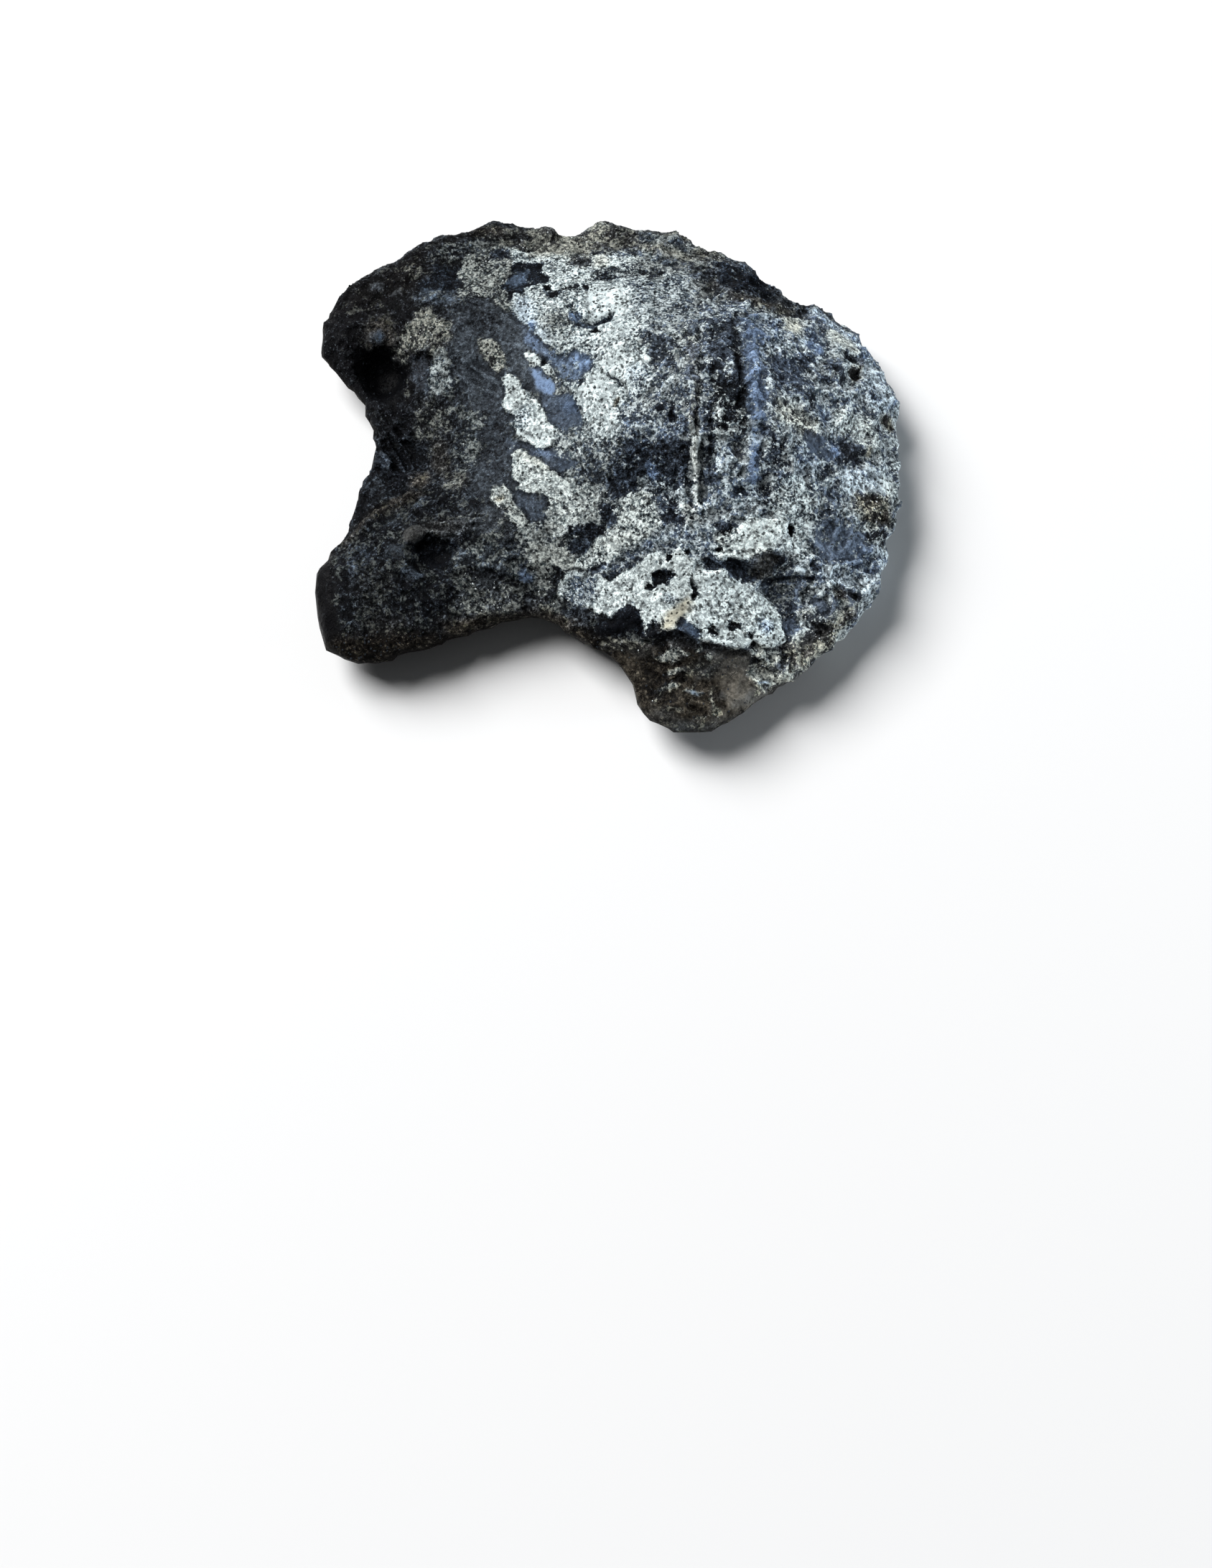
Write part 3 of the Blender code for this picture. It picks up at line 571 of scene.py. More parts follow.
# Glassy brown rock of the front toe, with pale flakes.
FRONT_TOE = (
    dab((46, -236), (22, 22), 0, 9, pale=0, light=17, warm=100, smooth=40),
    fill([(98, -262), (108, -262), (116, -272), (106, -284), (94, -288), (98, -276)], 3, pale=50,
        clean=80, light=70, warm=80),
    fill([(43, -216), (53, -211), (59, -208), (67, -208), (73, -213), (77, -217), (72, -220),
        (61, -221), (50, -220)], 1.2, pale=66, clean=76, light=30, warm=35, step=70, glass=0),
    fill([(89, -219), (96, -215), (104, -214), (104, -220), (96, -221)], 1, pale=85, clean=90, warm=30,
        glass=0, step=60),
    fill([(54, -228), (61, -226), (72, -225), (79, -228), (76, -231), (66, -231), (60, -234),
        (54, -233)], 1.2, pale=66, clean=70, warm=35, glass=0),
    fill([(38, -250), (46, -244), (54, -238), (66, -238), (69, -243), (58, -245), (48, -249)], 1.4,
        pale=62, clean=70, warm=30, glass=0),
    dab((70, -234), (6.5, 5.5), 15, 1, pale=0, light=10, warm=80, glass=40),
    dab((52, -268), (12, 6), -10, 4, pale=30, light=40, warm=60),
    dab((99, -254), (2.4, 9), 0, 1.6, pale=60, clean=70, warm=55),
    dab((109, -251), (6, 4.5), 0, 2, pale=50, clean=70, warm=55),
    fill([(112, -226), (142, -232), (165, -238), (160, -248), (136, -258), (118, -262), (106, -240)], 5,
        light=105, warm=85, glass=100, pale=6, clean=70),
    fill([(100, -213), (136, -214), (140, -228), (118, -232), (98, -226)], 3, pale=10, clean=80,
        light=80, warm=75, glass=90),
    # Painted highlight: a bright streak on the glassy rock.
    dab((140, -252), (22, 5), 22, 3, light=190, warm=70, glass=100),
    dab((153, -246), (16, 7), 18, 3, pale=50, clean=90, light=160, warm=70),
    dab((92, -228), (14, 6), 0, 3, pale=42, clean=80, light=50, warm=50),
    dab((62, -263), (9, 1.1), -14, 0.8, pale=90, clean=60, warm=50),
    dab((88, -272), (8, 1.1), 24, 0.8, pale=90, clean=60, warm=50),
    dab((46, -254), (6, 1), 40, 0.8, pale=90, clean=60, warm=50),
    dab((84, -240), (1.1, 7), -25, 0.8, pale=90, clean=60, warm=50),
    dab((70, -282), (30, 7), 0, 4, pale=30, clean=50, light=50, warm=40),
    fill([(136, -205), (158, -206), (166, -214), (158, -224), (140, -222), (137, -214)], 2.5, pale=72,
        clean=115, light=55, warm=35, cool=0, glass=0, smooth=0),
    fill([(138, -223), (160, -224), (182, -224), (188, -232), (172, -243), (148, -243), (134, -232)], 3,
        pale=80, clean=120, light=90, warm=40, cool=0, glass=20, smooth=0),
    dab((142, -220), (5, 3.4), 30, 1.2, pale=0, light=4, warm=30),
    # Painted highlights: thin bluish white lines on the glassy rock.
    dab((151, -237), (6.5, 1.5), 4, 0.8, pale=100, cool=90, warm=0),
    dab((82, -249), (10, 1.1), -10, 0.7, pale=80, cool=90, warm=0),
)

PAINT = (GROUND + UPPER_SIDE_TOE + MIDDLE + LOWER_SIDE_TOE + UPPER_CRUST + LEDGE_TOP +
         HOLLOW_AND_GROOVE + UPPER_EDGE + RIDGE_AND_HEEL + HEEL + FRONT_CORNER + LOWER_CRUST +
         FRONT_TOE)


# ---------------------------------------------------------------------------
# Carving, listed in millimetres along the surface: cuts and hollows have a negative height.

def stroke(path, half_width, height):
    """A ridge or cut with a rounded section."""
    return {"path": path, "half_width": half_width, "height": height}


def knob(centre, radii, turn, height):
    """An oval rise or hollow."""
    return {"centre": centre, "radii": radii, "turn": turn, "height": height}


STROKES = (
    # The groove and its lips.
    stroke([(91, 116), (92, 70), (90, 30), (85, 0), (86, -14), (90, -27), (91, -40), (92, -58),
        (92, -80)], 2.6, -2.6),
    stroke([(98, 10), (99, -8), (100, -30), (98, -56)], 2.0, -1.6),
    stroke([(82, 30), (81, 0), (83, -24), (86, -48), (84, -66)], 4.5, 2.5),
    # The lilac ridge and the trough beside it.
    stroke([(144, 124), (147, 80), (144, 40), (143, 0), (139, -30), (136, -58)], 5.0, 3.0),
    stroke([(128, 110), (129, 70), (130, 30), (131, -4)], 5.5, -2.6),
    # Curled edges and cracks of the upper crust.
    stroke([(-36, 146), (-31, 134), (-24, 128), (-14, 124), (0, 127), (3, 134)], 3.0, -4.0),
    stroke([(-28, 158), (-26, 140), (-16, 130), (-2, 133), (2, 140)], 3.0, 1.5),
    stroke([(0, 56), (8, 50), (17, 41), (19, 28)], 1.4, -2.5),
    stroke([(-112, 180), (-108, 196), (-101, 212)], 2.0, -2.0),
    # The ledge and its lip.
    stroke([(86, -136), (104, -136), (122, -139), (136, -140), (150, -143), (172, -139), (200, -142)],
        4.0, -3.5),
    stroke([(104, -125), (120, -126), (137, -129), (145, -121), (158, -119), (168, -123)], 3.0, 2.0),
    # The broken edge of the lower crust.
    stroke([(36, -201), (48, -203), (60, -201), (74, -206), (92, -212), (112, -215), (130, -213),
        (140, -206)], 3.0, -1.7),
    stroke([(34, -196), (52, -193), (68, -195), (84, -201), (104, -206), (124, -209), (138, -202)], 3.0,
        2.0),
    stroke([(8, -200), (22, -198), (34, -203), (46, -212)], 3.0, 2.5),
    stroke([(81, -146), (84, -152), (84, -160), (82, -166)], 1.6, -2.5),
    # Folds in the notch.
    stroke([(-243, 42), (-230, 24), (-216, 4), (-208, -12)], 2.0, 3.0),
    stroke([(-236, 46), (-222, 28), (-208, 10), (-200, -8)], 1.8, 2.6),
    stroke([(-244, 28), (-234, 12), (-222, -6)], 1.8, 2.6),
    stroke([(-228, 50), (-212, 30), (-202, 20)], 2.0, 2.4),
    stroke([(-238, 6), (-230, 4), (-224, -6)], 1.8, 3.0),
    stroke([(-238, -6), (-230, -8), (-222, -12)], 1.8, 3.0),
    stroke([(-222, -16), (-208, -18), (-198, -22)], 2.2, 2.6),
    # The lower side toe.
    stroke([(-198, -40), (-214, -52), (-236, -66), (-258, -92)], 4.0, 4.0),
    stroke([(-190, -48), (-212, -64), (-240, -88)], 4.0, -2.5),
    stroke([(-178, -90), (-150, -92), (-120, -88)], 2.4, 2.2),
    stroke([(-176, -80), (-148, -82), (-122, -79)], 2.0, 2.0),
    stroke([(-204, -130), (-184, -134), (-160, -130), (-132, -124), (-100, -128)], 3.5, 2.5),
    # The upper side toe and its neck.
    stroke([(-196, 60), (-200, 90), (-204, 108)], 3.0, 2.5),
    stroke([(-226, 112), (-206, 106), (-192, 112), (-178, 104)], 3.0, 3.0),
    stroke([(-160, 160), (-140, 156), (-118, 146), (-100, 134)], 3.0, 2.0),
    stroke([(-150, 96), (-132, 84), (-112, 70)], 2.0, 2.2),
    stroke([(-158, 84), (-138, 70), (-118, 60)], 1.8, 1.8),
    # Facets of the heel.
    stroke([(150, 66), (172, 56), (192, 44), (206, 30)], 2.6, 2.6),
    stroke([(152, 54), (176, 42), (196, 32)], 2.2, 2.2),
    stroke([(178, 92), (196, 78), (212, 66)], 2.2, 2.4),
    stroke([(240, 96), (250, 90), (258, 90), (262, 98)], 1.8, 3.0),
    stroke([(204, -146), (226, -142), (244, -148)], 2.4, 2.6),
    stroke([(206, -128), (228, -124), (250, -118)], 2.0, 2.0),
    # The neck of the lower side toe, and the front toe.
    stroke([(-60, -133), (-48, -142), (-52, -158)], 3.0, -1.4),
    stroke([(55, -262), (75, -256), (98, -262), (112, -270)], 3.0, 2.0),
)

KNOBS = (
    # The end of the groove.
    knob((91, -73), (3.5, 8), 0, -4.0),
    # Beads of coal under the lower crust.
    knob((17, -172), (8, 6), 0, 3.0),
    knob((26, -177), (6, 8), 0, 3.0),
    knob((14, -182), (8, 7), 20, 2.5),
    knob((3, -187), (8, 5), 10, 2.5),
    knob((24, -190), (6, 6), 0, 2.0),
    knob((-3, -184), (5, 4), 0, 2.0),
    knob((47, -198), (8, 7), 10, 2.0),
    # Bumps on the back edge.
    knob((-66, 262), (12, 9), 0, 8.0),
    knob((-118, 262), (16, 9), 0, 4.5),
    knob((-2, 270), (13, 9), 0, 4.5),
    knob((38, 262), (12, 7), 0, 3.0),
    knob((74, 250), (10, 8), 0, 3.0),
    # The side toes: a boss, the two hollows and small lumps.
    knob((-191, -93), (11, 11), 0, 3.0),
    knob((-172, -108), (22, 11), -4, -7.0),
    knob((-236, 96), (24, 28), 0, -8.0),
    knob((-246, 192), (9, 7), 20, 2.0),
    knob((-241, 134), (9, 8), 0, 2.0),
    # Pockets and beads in the crust, the ledge and the heel.
    knob((-36, 133), (5, 6), 0, 2.0),
    knob((-12, 114), (8, 3.5), -15, -2.5),
    knob((178, -98), (3, 5), 0, -3.5),
    knob((168, -127), (7, 5), 10, 2.5),
    knob((152, -130), (10, 6), 0, 2.0),
    knob((106, -122), (3, 3), 0, -2.5),
    knob((51, -129), (3, 2.6), 0, -2.5),
    knob((39, -152), (4, 3), 10, -2.5),
    knob((54, -143), (9, 5), 0, -2.5),
    knob((70, -234), (7.5, 6), 15, -2.5),
    knob((70, -234), (4, 3.2), 15, 1.8),
    knob((78, -192), (8, 9), -30, 3.0),
    knob((252, 101), (10, 5), -10, -3.0),
    knob((255, 78), (6, 10), 0, -2.5),
    knob((242, -152), (8, 4), -20, -1.6),
    knob((205, -186), (9, 5), 0, -2.5),
    knob((204, 30), (4, 10), 5, -2.0),
    knob((193, -174), (9, 6), 0, 3.0),
    knob((207, -166), (7, 6), 0, 2.5),
    knob((62, 4), (4, 9), 5, -3.0),
    knob((8, 27), (4, 5), -15, -1.4),
    knob((-27, 57), (4, 4), 0, -1.0),
    knob((27, -7), (12, 9), 0, 2.0),
    knob((110, -40), (11, 16), 0, 3.0),
    knob((127, -69), (7, 6), 0, -1.4),
    knob((-64, 86), (3, 4), -30, -2.0),
    knob((-41, 175), (12, 3), 14, -1.2),
)


# ---------------------------------------------------------------------------
# Settings

def length(name, description, default, **limits):
    """A size, held in metres."""
    return FloatProperty(name=name, description=description, default=default, subtype="DISTANCE",
                         unit="LENGTH", **limits)


def power(name, description, default):
    """The power of a light, in watts."""
    return FloatProperty(name=name, description=description, default=default, min=0.0, unit="POWER")


def tint(name, description, default, most=1.0):
    """A colour, or a tint that multiplies one and so may pass 1."""
    return FloatVectorProperty(name=name, description=description, default=default, subtype="COLOR",
                               size=3, min=0.0, max=most)


def tally(name, description, default, least=0):
    """A whole number of things."""
    return IntProperty(name=name, description=description, default=default, min=least)


class FOSSIL_PG_stone(bpy.types.PropertyGroup):
    voxel: length("Voxel", "Edge of the squares that the stone's skin is made of", 2.0 * MM, min=1.0 * MM)
    triangles: tally("Triangles", "How many triangles the finished skin keeps", 195000, 1000)
    under_share: FloatProperty(
        name="Underside share", description="Share of its faces that the hidden underside keeps",
        default=0.05, min=0.01, max=1.0, subtype="FACTOR")
    crust_step: length("Crust step", "How far the pale crust stands above the coal", 1.4 * MM)
    border: FloatProperty(
        name="Border", description="How many times wider the painted borders run than their listed width",
        default=1.6, min=0.5)
    crinkle: length("Crinkle", "Depth of the folds in broken coal", 5.0 * MM)
    creases: length("Creases", "Depth of the fine creases in bare rock", 0.7 * MM)
    lumps: length("Lumps", "Height of the lumps on the crust", 2.2 * MM)
    tooth: length("Tooth", "Height of the fine roughness everywhere", 1.5 * MM)
    # Painted light and shade: a lit and a shaded copy of the crust colour, mixed at random grain by grain.
    crust_lit: tint("Crust light", "Clean grains of the crust", (0.79, 0.885, 0.88))
    crust_shaded: tint("Crust dull", "Dusty grains of the crust", (0.085, 0.115, 0.13))
    tan: tint("Tan", "Tint of crust stained by clay", (0.86, 0.70, 0.50))
    # Painted sheen: the bluish cast that painted cool light gives the crust.
    ice_sheen: tint("Ice", "Tint of crust over slate", (0.66, 0.77, 1.0))
    coal: tint("Coal", "Darkest coal", (0.003, 0.0035, 0.0045))
    slate: tint("Slate", "Smooth grey coal", (0.128, 0.166, 0.203))
    # Painted sheen: lightens and blues the facets where cool light is painted.
    lilac_sheen: tint("Lilac", "Tint of the bluish facets", (1.36, 1.64, 2.25), 3.0)
    brown: tint("Brown", "Tint of clay-stained coal", (1.38, 0.94, 0.60), 2.0)


class FOSSIL_PG_grit(bpy.types.PropertyGroup):
    grains: tally("Pale grains", "How many pale grains cling to the stone", 2600)
    chips: tally("Coal chips", "How many loose chips of coal cling to the stone", 1500)
    grain_size: length("Grain size", "Width of a large pale grain", 2.4 * MM)
    chip_size: length("Chip size", "Width of a large coal chip", 3.4 * MM)


class FOSSIL_PG_stage(bpy.types.PropertyGroup):
    floor_colour: tint("Floor", "Colour of the floor", (0.815, 0.815, 0.815))
    floor_size: length("Floor size", "Edge of the square floor", 12.0)
    key_power: power("Key light", "Power of the large soft light", 3020.0)
    fill_power: power("Fill light", "Power of the cool light on the right", 112.0)
    sky: FloatProperty(name="Sky", description="Strength of the even light all round", default=0.06, min=0.0)
    camera_distance: length("Camera distance", "From the lens to the point it is aimed at", 1.5538)
    camera_height: FloatProperty(
        name="Camera elevation", description="Angle of the view above the floor",
        default=math.radians(67.0), subtype="ANGLE")


def settings_of(kind):
    """The settings that an operator works from."""
    return getattr(bpy.context.scene, f"fossil_{kind}")


# ---------------------------------------------------------------------------
# Fields over the surface

WANDER = ((10.0, 3.0), (4.0, 1.9))  # size and reach, in mm, of each shake of the painted edges
WANDER_SEED = 7  # left unset, the noise would start from the clock and differ each run
FLOOR_CLEAR = 4.0 * MM  # nothing is carved below this height, so the stone still rests flat
CARVE_FADE = 10.0 * MM
RELIEF_FADE = 8.0 * MM
STROKE_REACH = 3.0  # in half widths
KNOB_REACH = 1.6  # in radii
KNOB_RIM = 1.35

SIDE_START = 0.62  # upward part of the normal where a side starts
SIDE_SPAN = 0.4
SIDE_SHARE = 0.8
RIGHT_START = 0.16
LEFT_START = -0.10
END_SPAN = 0.08
# Painted light and shade: the additions make the right end paler and bluer and the left end darker.
SIDE_STAIN_AND_LIGHT = {  # value on the steep sides, then what is added at the right and at the left end
    "pale": (0.16, 0.50, -0.16),
    "clean": (0.3, 0.7, -0.15),
    "light": (0.14, 0.40, -0.13),
    "warm": (0.75, -0.50, 0.0),
    "cool": (0.0, 0.35, 0.0),
    "step": (0.0, 0.0, 0.0),
}


def smooth_step(values):
    """Ease from 0 to 1 between 0 and 1."""
    clipped = np.clip(values, 0.0, 1.0)
    return clipped * clipped * (3.0 - 2.0 * clipped)


def run_gap(plan, start, end):
    """Distance of each point from a straight run."""
    along = end - start
    offset = plan - start
    share = np.clip(offset @ along / (along @ along), 0.0, 1.0)
    gap = offset - share[:, None] * along
    return np.hypot(gap[:, 0], gap[:, 1])


def near_path(plan, path):
    """Distance from a path of straight runs."""
    points = np.array(path, dtype=float)
    return np.min([run_gap(plan, start, end) for start, end in zip(points[:-1], points[1:])], axis=0)


def inside_outline(plan, outline):
    """How far inside an outline each point lies; negative outside."""
    corners = np.array(outline, dtype=float)
    inside = np.zeros(len(plan), dtype=bool)
    for start, end in zip(corners, np.roll(corners, -1, axis=0)):
        rise = end[1] - start[1]
        if rise == 0.0:
            continue
        crosses = (start[1] > plan[:, 1]) != (end[1] > plan[:, 1])
        reach = start[0] + (plan[:, 1] - start[1]) * (end[0] - start[0]) / rise
        inside ^= crosses & (plan[:, 0] < reach)
    nearest = near_path(plan, (*outline, outline[0]))
    return np.where(inside, nearest, -nearest)


def oval_radius(plan, oval):
    """Distance from an oval's centre, where 1 is its rim."""
    angle = math.radians(oval["turn"])
    offset = plan - np.array(oval["centre"], dtype=float)
    across = offset[:, 0] * math.cos(angle) + offset[:, 1] * math.sin(angle)
    up = offset[:, 1] * math.cos(angle) - offset[:, 0] * math.sin(angle)
    return np.hypot(across / oval["radii"][0], up / oval["radii"][1])


def close_to(plan, points, margin):
    """Indices of the surface points within a margin of the box round some plan points."""
    corners = np.array(points, dtype=float)
    low = corners.min(axis=0) - margin
    high = corners.max(axis=0) + margin
    return np.nonzero(np.all((plan > low) & (plan < high), axis=1))[0]


def patch_cover(plan, patch, border):
    """Points that a patch of paint reaches, and how much of it each one takes."""
    edge = patch["edge"] * border
    if "points" in patch:
        near = close_to(plan, patch["points"], edge)
        depth = inside_outline(plan[near], patch["points"])
    else:
        near = close_to(plan, [patch["centre"]], max(patch["radii"]) + edge)
        depth = (1.0 - oval_radius(plan[near], patch)) * min(patch["radii"])
    return near, smooth_step(0.5 + depth / (2.0 * edge))


def wander(points):
    """Plan positions in millimetres, shaken so that painted edges come out ragged."""
    noise.seed_set(WANDER_SEED)
    plan = points[:, :2] / MM
    for size, reach in WANDER:
        shake = np.array([noise.noise_vector(Vector(point) / (size * MM))[:2] for point in points])
        plan = plan + shake * reach
    return plan


def paint(points, normals, border):
    """Value of every channel at every point of the surface."""
    layers = {name: np.full(len(points), start) for name, start in CHANNELS.items()}
    plan = wander(points)
    for patch in PAINT:
        near, cover = patch_cover(plan, patch, border)
        for name, value in patch["values"].items():
            layers[name][near] += (value - layers[name][near]) * cover
    stain_and_light_sides(points, normals, layers)
    return layers


def stain_and_light_sides(points, normals, layers):
    """Steep sides duller and browner than the face, painted light at the right end, painted shade at the
    left.
    """
    steep = smooth_step((SIDE_START - normals[:, 2]) / SIDE_SPAN)
    lit_right = smooth_step((points[:, 0] - RIGHT_START) / END_SPAN)
    shaded_left = smooth_step((LEFT_START - points[:, 0]) / END_SPAN)
    for name, (value, light_at_right, shade_at_left) in SIDE_STAIN_AND_LIGHT.items():
        goal = value + light_at_right * lit_right + shade_at_left * shaded_left
        layers[name] += (goal - layers[name]) * steep * SIDE_SHARE


def above_floor(points, fade):
    """0 at the floor, rising to 1 over a height."""
    return smooth_step((points[:, 2] - FLOOR_CLEAR) / fade)


def carve(points, normals, layers, crust_step):
    """The surface after the crust's step, the strokes and the knobs."""
    plan = points[:, :2] / MM
    height = (layers["step"] - 1.0) * crust_step / MM
    for cut in STROKES:
        near = close_to(plan, cut["path"], STROKE_REACH * cut["half_width"])
        gap = near_path(plan[near], cut["path"]) / cut["half_width"]
        height[near] += cut["height"] * np.exp(-gap ** 2)
    for rise in KNOBS:
        near = close_to(plan, [rise["centre"]], KNOB_REACH * max(rise["radii"]))
        height[near] += rise["height"] * smooth_step(KNOB_RIM - oval_radius(plan[near], rise))
    return points + normals * (height * above_floor(points, CARVE_FADE) * MM)[:, None]


def neighbour_mean(values, edges, count):
    """Mean of each point's neighbours, for a few numbers at each point."""
    total = np.zeros_like(values)
    for column in range(values.shape[1]):
        total[:, column] = (
            np.bincount(edges[:, 0], values[edges[:, 1], column], len(values))
            + np.bincount(edges[:, 1], values[edges[:, 0], column], len(values)))
    return total / count[:, None]


def hollowness(points, normals, edges, rounds):
    """How far each point lies below the mean of the skin round it, in millimetres."""
    count = np.maximum(np.bincount(edges.ravel(), minlength=len(points)), 1)
    relaxed = points.copy()
    for _ in range(rounds):
        relaxed = neighbour_mean(relaxed, edges, count)
    return np.einsum("ij,ij->i", relaxed - points, normals) / MM


# ---------------------------------------------------------------------------
# Mesh tools

WEIGHT_LEVELS = 20


def select_only(piece):
    """Make one object the only one that operators work on."""
    bpy.ops.object.select_all(action="DESELECT")
    piece.select_set(True)
    bpy.context.view_layer.objects.active = piece


def apply_modifier(piece, kind, **values):
    """Add a modifier with its settings and apply it."""
    select_only(piece)
    modifier = piece.modifiers.new(kind.title(), kind)
    for name, value in values.items():
        setattr(modifier, name, value)
    bpy.ops.object.modifier_apply(modifier=modifier.name)


def read_rows(items, key, width, kind=float):
    """A row of numbers for each point or edge."""
    flat = np.empty(len(items) * width, dtype=kind)
    items.foreach_get(key, flat)
    return flat.reshape(-1, width)


def read_skin(mesh):
    """Points of a mesh and their normals."""
    return read_rows(mesh.vertices, "co", 3), read_rows(mesh.vertices, "normal", 3)


def write_points(mesh, points):
    mesh.vertices.foreach_set("co", points.ravel())
    mesh.update()


def write_attribute(mesh, name, values):
    attribute = mesh.attributes.new(name, "FLOAT", "POINT")
    attribute.data.foreach_set("value", values.astype(np.float32))


def read_attribute(mesh, name):
    return read_rows(mesh.attributes[name].data, "value", 1, np.float32)[:, 0].astype(float)


def weight_group(piece, name, weights):
    """Vertex group whose weights drive a modifier, in even levels."""
    group = piece.vertex_groups.new(name=name)
    levels = np.round(np.clip(weights, 0.0, 1.0) * WEIGHT_LEVELS).astype(int)
    for level in range(1, WEIGHT_LEVELS + 1):
        members = np.nonzero(levels == level)[0].tolist()
        if members:
            group.add(members, level / WEIGHT_LEVELS, "REPLACE")


def relief_texture(name, kind, size, **values):
    """Texture for a Displace modifier, with the size of its features in metres."""
    texture = bpy.data.textures.new(name, kind)
    texture.noise_scale = size
    for key, value in values.items():
        setattr(texture, key, value)
    return texture


def fit_to_box(mesh, low, high):
    """Ease the skin back to the box of the solid it stands for."""
    points, _ = read_skin(mesh)
    own_low = points.min(axis=0)
    own_high = points.max(axis=0)
    scale = (np.array(high) - np.array(low)) / (own_high - own_low)
    write_points(mesh, np.array(low) + (points - own_low) * scale)


# ---------------------------------------------------------------------------
# The stone

MERGE = 0.01 * MM
EVENING = {"factor": 0.5, "iterations": 3}
UNDER_TURN = -0.8  # a face that looks down more than this, low enough, is underside
UNDER_HEIGHT = 3.0 * MM
CREVICE_ROUNDS = 4
BASIN_ROUNDS = 40
THIN_START = 0.72  # upward part of the normal where the skin starts to thin faster
THIN_SPAN = 0.3
FACE_THINNING = 0.3
RUGGED_START = 0.02  # right of this the coal is folded at full depth, left of it at half
RUGGED_SPAN = 0.07
SMOOTH_FOLDS = 0.85  # share of its folds and of its tooth that smooth rock loses
SMOOTH_TOOTH = 0.8
DEEP_MIDDLE = 0.62  # texture value that stays in place: folds go in more than they stand out
EVEN_MIDDLE = 0.5
COAL_FOLDS = {"musgrave_type": "RIDGED_MULTIFRACTAL", "octaves": 4.0, "dimension_max": 0.9, "gain": 1.6,
              "offset": 0.9}
COAL_CREASES = {"musgrave_type": "RIDGED_MULTIFRACTAL", "octaves": 3.0, "dimension_max": 0.8, "gain": 1.4,
                "offset": 0.9}
FOLD_SIZE = 24.0 * MM
CREASE_SIZE = 5.5 * MM
LUMP_SIZE = 9.0 * MM
TOOTH_SIZE = 3.6 * MM


def stone_blank(voxel, under_share):
    """A fine even skin over the solid, coarse where it rests on the floor."""
    cast = bpy.data.objects[CAST]
    blank = bpy.data.objects.new(STONE, cast.data.copy())
    blank.data.materials.clear()
    bpy.context.scene.collection.objects.link(blank)
    select_only(blank)
    bpy.ops.object.mode_set(mode="EDIT")
    bpy.ops.mesh.select_all(action="SELECT")
    bpy.ops.mesh.remove_doubles(threshold=MERGE)
    bpy.ops.mesh.tris_convert_to_quads()
    bpy.ops.object.mode_set(mode="OBJECT")
    apply_modifier(blank, "SUBSURF", levels=1, render_levels=1)
    apply_modifier(blank, "REMESH", mode="VOXEL", voxel_size=voxel)
    apply_modifier(blank, "SMOOTH", **EVENING)
    points, normals = read_skin(blank.data)
    under = (normals[:, 2] < UNDER_TURN) & (points[:, 2] < UNDER_HEIGHT)
    keep = 1.0 - under.mean() * (1.0 - under_share)
    weight_group(blank, "under", under.astype(float))
    apply_modifier(blank, "DECIMATE", ratio=keep, vertex_group="under")
    blank.vertex_groups.clear()
    return blank


def roughen(stone, layers, settings):
    """Broken, lumpy and toothed surfaces, each where its rock lies."""
    points, _ = read_skin(stone.data)
    lifted = above_floor(points, RELIEF_FADE)
    rugged = 0.5 + 0.5 * smooth_step((points[:, 0] - RUGGED_START) / RUGGED_SPAN)
    bare = (1.0 - layers["step"]) * (1.0 - SMOOTH_FOLDS * layers["smooth"]) * lifted
    reliefs = (
        ("crinkle", bare * rugged, DEEP_MIDDLE, "MUSGRAVE", FOLD_SIZE, COAL_FOLDS),
        ("creases", bare, DEEP_MIDDLE, "MUSGRAVE", CREASE_SIZE, COAL_CREASES),
        ("lumps", layers["step"] * lifted, EVEN_MIDDLE, "CLOUDS", LUMP_SIZE, {"noise_depth": 3}),
        ("tooth", lifted * (1.0 - SMOOTH_TOOTH * layers["smooth"]), EVEN_MIDDLE, "CLOUDS", TOOTH_SIZE,
         {"noise_depth": 1}),
    )
    for name, weights, middle, kind, size, options in reliefs:
        weight_group(stone, name, weights)
        apply_modifier(stone, "DISPLACE", texture=relief_texture(name, kind, size, **options),
                       texture_coords="LOCAL", strength=getattr(settings, name), mid_level=middle,
                       vertex_group=name)
    stone.vertex_groups.clear()


def thin(stone, most):
    """Bring the skin down to a count of triangles, more on its steep sides than on its face."""
    stone.data.calc_loop_triangles()
    _, normals = read_skin(stone.data)
    steep = smooth_step((THIN_START - normals[:, 2]) / THIN_SPAN)
    weight_group(stone, "thinned", FACE_THINNING + (1.0 - FACE_THINNING) * steep)
    apply_modifier(stone, "DECIMATE", ratio=most / len(stone.data.loop_triangles), vertex_group="thinned")
    stone.vertex_groups.clear()


